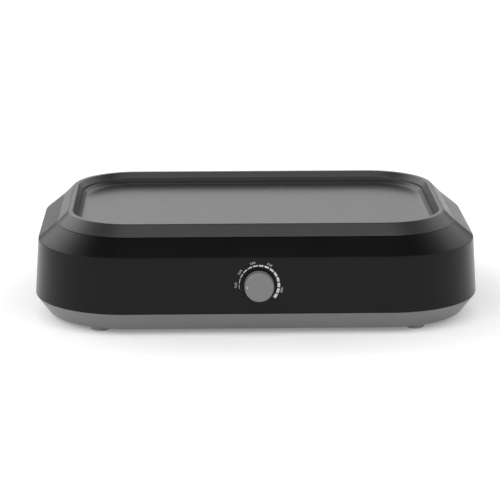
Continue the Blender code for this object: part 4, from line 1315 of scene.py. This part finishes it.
@dataclass
class Heater(Assembly):
    """What shows when the plate is lifted: the reflector pan, the element and the sensor."""

    pan_thickness: float = 1 * MM
    pan_rim_inset: float = 37 * MM
    pan_floor_inset: float = 46 * MM
    rim_radius: float = 66.1 * MM
    rim_inset: float = 35.04 * MM
    tube_radius: float = 3.25 * MM
    pass_margin: float = 26 * MM
    turn_margin: float = 11.5 * MM
    inner_turn_x: float = 45 * MM
    end_x: float = 14 * MM
    end_bend: float = 12 * MM
    end_drop: float = 27 * MM
    arc_steps: int = 14
    tube_hole: float = 4.65 * MM
    capillary_x: float = 42 * MM
    capillary_hole: float = 4 * MM
    pan_bend: float = 2.5 * MM
    swage: float = 1.4 * MM

    def build_pan(self) -> None:
        """Lofts the pan with a soft bend at its foot, and pierces it for the element and the sensor."""
        low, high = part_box("reflector_pan")
        thick = self.pan_thickness
        rim_radius = self.rim_radius - (self.pan_rim_inset - self.rim_inset)
        floor_radius = self.rim_radius - (self.pan_floor_inset - self.rim_inset)
        rim = Outline(self.pan_rim_inset, high.z, rim_radius)
        foot = Outline(self.pan_floor_inset, low.z, floor_radius, self.pan_bend)
        outlines = [foot, rim, rim.moved(thick, high.z), foot.moved(thick / 2, low.z + thick, 2 * MM)]
        pan = self.skin.loft("reflector_sheet", outlines, capped=True)
        pass_y = self.skin.middle.y + self.skin.half.y - self.pan_rim_inset - self.pass_margin
        holes = [(side * self.end_x, pass_y, self.tube_hole) for side in (-1, 1)]
        holes.append((self.capillary_x, over("sensor_bulb").translation.y, self.capillary_hole))
        for x, y, radius in holes:
            hole = add_drum("hole", radius, low.z - thick, low.z + 3 * thick, 32)
            hole.data.transform(Matrix.Translation((x, y, 0)))
            carve(pan, hole)
        self.hand_over(settle(pan), SHEET, Body.CASING, "sheet_steel", "reflector_pan")

    def arc(self, x: float, y: float, radius: float, start: float, end: float) -> list[tuple[float, float]]:
        """Points on a level arc.

        Args:
            x: Its centre's place along X.
            y: Its centre's place along Y.
            radius: Its radius.
            start: Its first angle, in degrees.
            end: Its last angle.

        Returns:
            The points, as X and Y.
        """
        steps = [math.radians(start + (end - start) * i / self.arc_steps) for i in range(self.arc_steps + 1)]
        return [(x + radius * math.cos(a), y + radius * math.sin(a)) for a in steps]

    def build_element(self) -> None:
        """Draws the element as a smooth tube along its four passes, with its ends turned down."""
        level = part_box("heating_element")[1].z - self.tube_radius
        outer = self.skin.half.y - self.pan_rim_inset - self.pass_margin
        inner = outer / 3
        turn, turn_y = (outer - inner) / 2, (outer + inner) / 2
        turn_x = self.skin.half.x - self.pan_rim_inset - self.turn_margin - turn
        bend_x, bend_z = -self.end_x - self.end_bend, level - self.end_bend
        bend = [(x, outer, z) for x, z in self.arc(bend_x, bend_z, self.end_bend, 0, 90)]
        loops = [
            *self.arc(-turn_x, turn_y, turn, 90, 270),
            *self.arc(-self.inner_turn_x, 0, inner, 90, -90),
            *self.arc(-turn_x, -turn_y, turn, 90, 270),
        ]
        left = [(-self.end_x, outer, level - self.end_drop), *bend, *((x, y, level) for x, y in loops)]
        points = left + [(-x, y, z) for x, y, z in reversed(left)]
        curve = bpy.data.curves.new("element_path", "CURVE")
        curve.dimensions = "3D"
        curve.bevel_depth = self.tube_radius
        curve.bevel_resolution = 5
        curve.use_fill_caps = True
        spline = curve.splines.new("POLY")
        spline.points.add(len(points) - 1)
        for spot, (x, y, z) in zip(spline.points, points):
            spot.co = (x + self.skin.middle.x, y + self.skin.middle.y, z, 1)
        tube = bpy.data.objects.new("element_tube", curve)
        bpy.context.scene.collection.objects.link(tube)
        select_only(tube)
        bpy.ops.object.convert(target="MESH")
        tube = bpy.context.active_object
        self.hand_over(settle(tube), SHEATH, Body.CASING, "element_sheath", "heating_element")

    def build_bulb(self) -> None:
        """Shapes the sensor bulb with swaged ends."""
        low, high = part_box("sensor_bulb")
        radius = (high.z - low.z) / 2
        bulb = add_drum("bulb_tube", radius, low.x, high.x, 32)
        for end in (low.x, high.x):
            bevel(bulb, Element.EDGE, rim_at(end), self.swage, 5)
        place = Matrix.Translation((0, (low.y + high.y) / 2, (low.z + high.z) / 2))
        settle(bulb, place @ Matrix.Rotation(math.pi / 2, 4, "Y"))
        self.hand_over(bulb, NICKEL, Body.CASING, "bright_steel", "sensor_bulb")


# The first words of each remaining node's name, and its finish
INSIDE_FINISHES = {
    "element_cradle": SHEET,
    "sensor_cradle": SHEET,
    "fuse_clamp": SHEET,
    "thermostat_bracket": SHEET,
    "element_seal": CERAMIC,
    "capillary_tube": BRASS,
    "thermostat_shaft": BRASS,
    "thermostat_bushing": BRASS,
    "thermostat_tab": BRASS,
    "thermostat_nut": ZINC,
    "knob_clip_ring": ZINC,
    "thermostat_body": PHENOLIC,
    "thermal_fuse": SLEEVE,
    **LEADS,
}


@dataclass
class Insides(Assembly):
    """The frame's own nodes that stay, each with its real finish."""

    def dress(self) -> None:
        """Gives each node whose name starts with a key that key's finish."""
        for name, node in frame["nodes"].items():
            for start, finish in INSIDE_FINISHES.items():
                if name.startswith(start):
                    node.data.materials.clear()
                    node.data.materials.append(finish.material())
                    LOG.info("%s in %s", name, finish.name)


# ---------------------------------------------------------------- studio


@dataclass
class Studio:
    """A pale sweep, soft lights and the camera.

    Attributes:
        target: The point in the middle of the casing's underside.
    """

    target: Vector
    azimuth: float = math.radians(-1.545)
    elevation: float = math.radians(14.718)
    distance: float = 2.225
    aim_height: float = 50 * MM
    aim_right: float = -4.81 * MM
    aim_up: float = -5.59 * MM
    lens: float = 149.2
    surround: tuple[tuple[float, float], ...] = (
        (0.0, 0.1),
        (0.1, 0.15),
        (0.2, 0.8),
        (0.27, 1.2),
        (0.6, 1.9),
        (0.78, 0.7),
        (0.9, 0.05),
        (1.0, 0.02),
    )
    left_gain: float = 1.6
    right_gain: float = 0.8
    front_gain: float = 0.5
    strip_spot: tuple[float, float, float] = (0, -1.02, 2.2)
    strip_size: tuple[float, float] = (3.0, 1.0)
    strip_power: float = 21
    floor_radius: float = 14
    floor_glow: float = 0.2

    def build_camera(self) -> None:
        """Puts the camera at the viewing angle, level and with a long lens."""
        back = Vector(
            (
                math.sin(self.azimuth) * math.cos(self.elevation),
                -math.cos(self.azimuth) * math.cos(self.elevation),
                math.sin(self.elevation),
            )
        )
        right = Vector((math.cos(self.azimuth), math.sin(self.azimuth), 0))
        up = back.cross(right)
        data = bpy.data.cameras.new("camera")
        data.lens = self.lens
        data.sensor_width = 36
        data.clip_end = 100
        camera = bpy.data.objects.new("camera", data)
        turn = Matrix((right, up, back)).transposed().to_4x4()
        aim = self.target + Vector((0, 0, self.aim_height))
        eye = aim + back * self.distance + right * self.aim_right + up * self.aim_up
        camera.matrix_world = Matrix.Translation(eye) @ turn
        bpy.context.scene.collection.objects.link(camera)
        bpy.context.scene.camera = camera

    def add_panel(self, name: str, spot: Sequence[float], size: Sequence[float], power: float) -> None:
        """Adds a soft light panel that faces the griddle.

        Args:
            name: Its name.
            spot: Its middle.
            size: Its width and height.
            power: Its power, in watts.
        """
        data = bpy.data.lights.new(name, "AREA")
        data.shape = "RECTANGLE"
        data.size, data.size_y = size
        data.energy = power
        panel = bpy.data.objects.new(name, data)
        panel.location = spot
        panel.rotation_euler = (Vector(spot) - self.target).to_track_quat("Z", "Y").to_euler()
        bpy.context.scene.collection.objects.link(panel)

    def build_lights(self) -> None:
        """Sets a soft strip in front and above, and a surround that is dark overhead and at the horizon."""
        self.add_panel("front_strip", self.strip_spot, self.strip_size, self.strip_power)
        world = bpy.data.worlds.new("surround")
        bpy.context.scene.world = world
        world.use_nodes = True
        tree = world.node_tree
        coordinates = add_node(tree, "TexCoord")
        parts = add_node(tree, "SeparateXYZ", links={"Vector": coordinates.outputs["Generated"]})
        height = add_node(tree, "ValToRGB", links={"Fac": parts.outputs["Z"]})
        stops = height.color_ramp.elements
        while len(stops) < len(self.surround):
            stops.new(1.0)
        for stop, (place, value) in zip(stops, self.surround):
            stop.position = place
            stop.color = (value, value, value, 1)
        sides = remap(tree, parts.outputs["X"], (-1.0, 1.0), (self.left_gain, self.right_gain))
        front = remap(tree, parts.outputs["Y"], (-0.6, 0.3), (self.front_gain, 1.0))
        gain = add_node(tree, "Math", {"operation": "MULTIPLY"}, {0: front, 1: sides}).outputs["Value"]
        factors = {0: height.outputs["Color"], 1: gain}
        strength = add_node(tree, "Math", {"operation": "MULTIPLY"}, factors)
        background = tree.nodes["Background"]
        background.inputs["Color"].default_value = (1, 1, 1, 1)
        tree.links.new(strength.outputs["Value"], background.inputs["Strength"])
        bpy.context.scene.view_settings.view_transform = "Standard"

    def build_floor(self) -> None:
        """Lays a wide pale floor."""
        bpy.ops.object.select_all(action="DESELECT")
        bpy.ops.mesh.primitive_circle_add(vertices=64, radius=self.floor_radius, fill_type="NGON")
        floor = added("studio_floor")
        material = bpy.data.materials.new("Pale matt sweep")
        material.use_nodes = True
        shader = material.node_tree.nodes["Principled BSDF"]
        shader.inputs["Base Color"].default_value = linear("#f4f4f4")
        shader.inputs["Roughness"].default_value = 0.9
        shader.inputs["Specular IOR Level"].default_value = 0.1
        shader.inputs["Emission Color"].default_value = linear("#ffffff")
        shader.inputs["Emission Strength"].default_value = self.floor_glow
        floor.data.materials.append(material)


# ---------------------------------------------------------------- the whole griddle


def main() -> None:
    """Builds the pieces in order, then the studio."""
    low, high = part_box("upper_housing")
    middle = (low + high) / 2
    skin = Skin(Vector((middle.x, middle.y)), (high - low).xy / 2)
    Plate(skin).build()
    casing = Casing(skin)
    dial = Dial(skin)
    inlet = Inlet(skin)
    inlet_place = inlet.place(casing)
    opening = [side + 2 * casing.gap for side in inlet.body[:2]]
    casing.build_housing(dial.place, dial.knob_radius, inlet_place, opening)
    casing.build_tray()
    casing.build_feet()
    dial.build_knob()
    dial.build_scale()
    dial.build_figures()
    inlet.build(casing)
    Screws(skin).build(inlet, inlet_place)
    heater = Heater(skin)
    heater.build_pan()
    heater.build_element()
    heater.build_bulb()
    Insides(skin).dress()
    studio = Studio(Vector((middle.x, middle.y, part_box("base_tray")[0].z)))
    studio.build_camera()
    studio.build_lights()
    studio.build_floor()


if __name__ == "__main__":
    main()
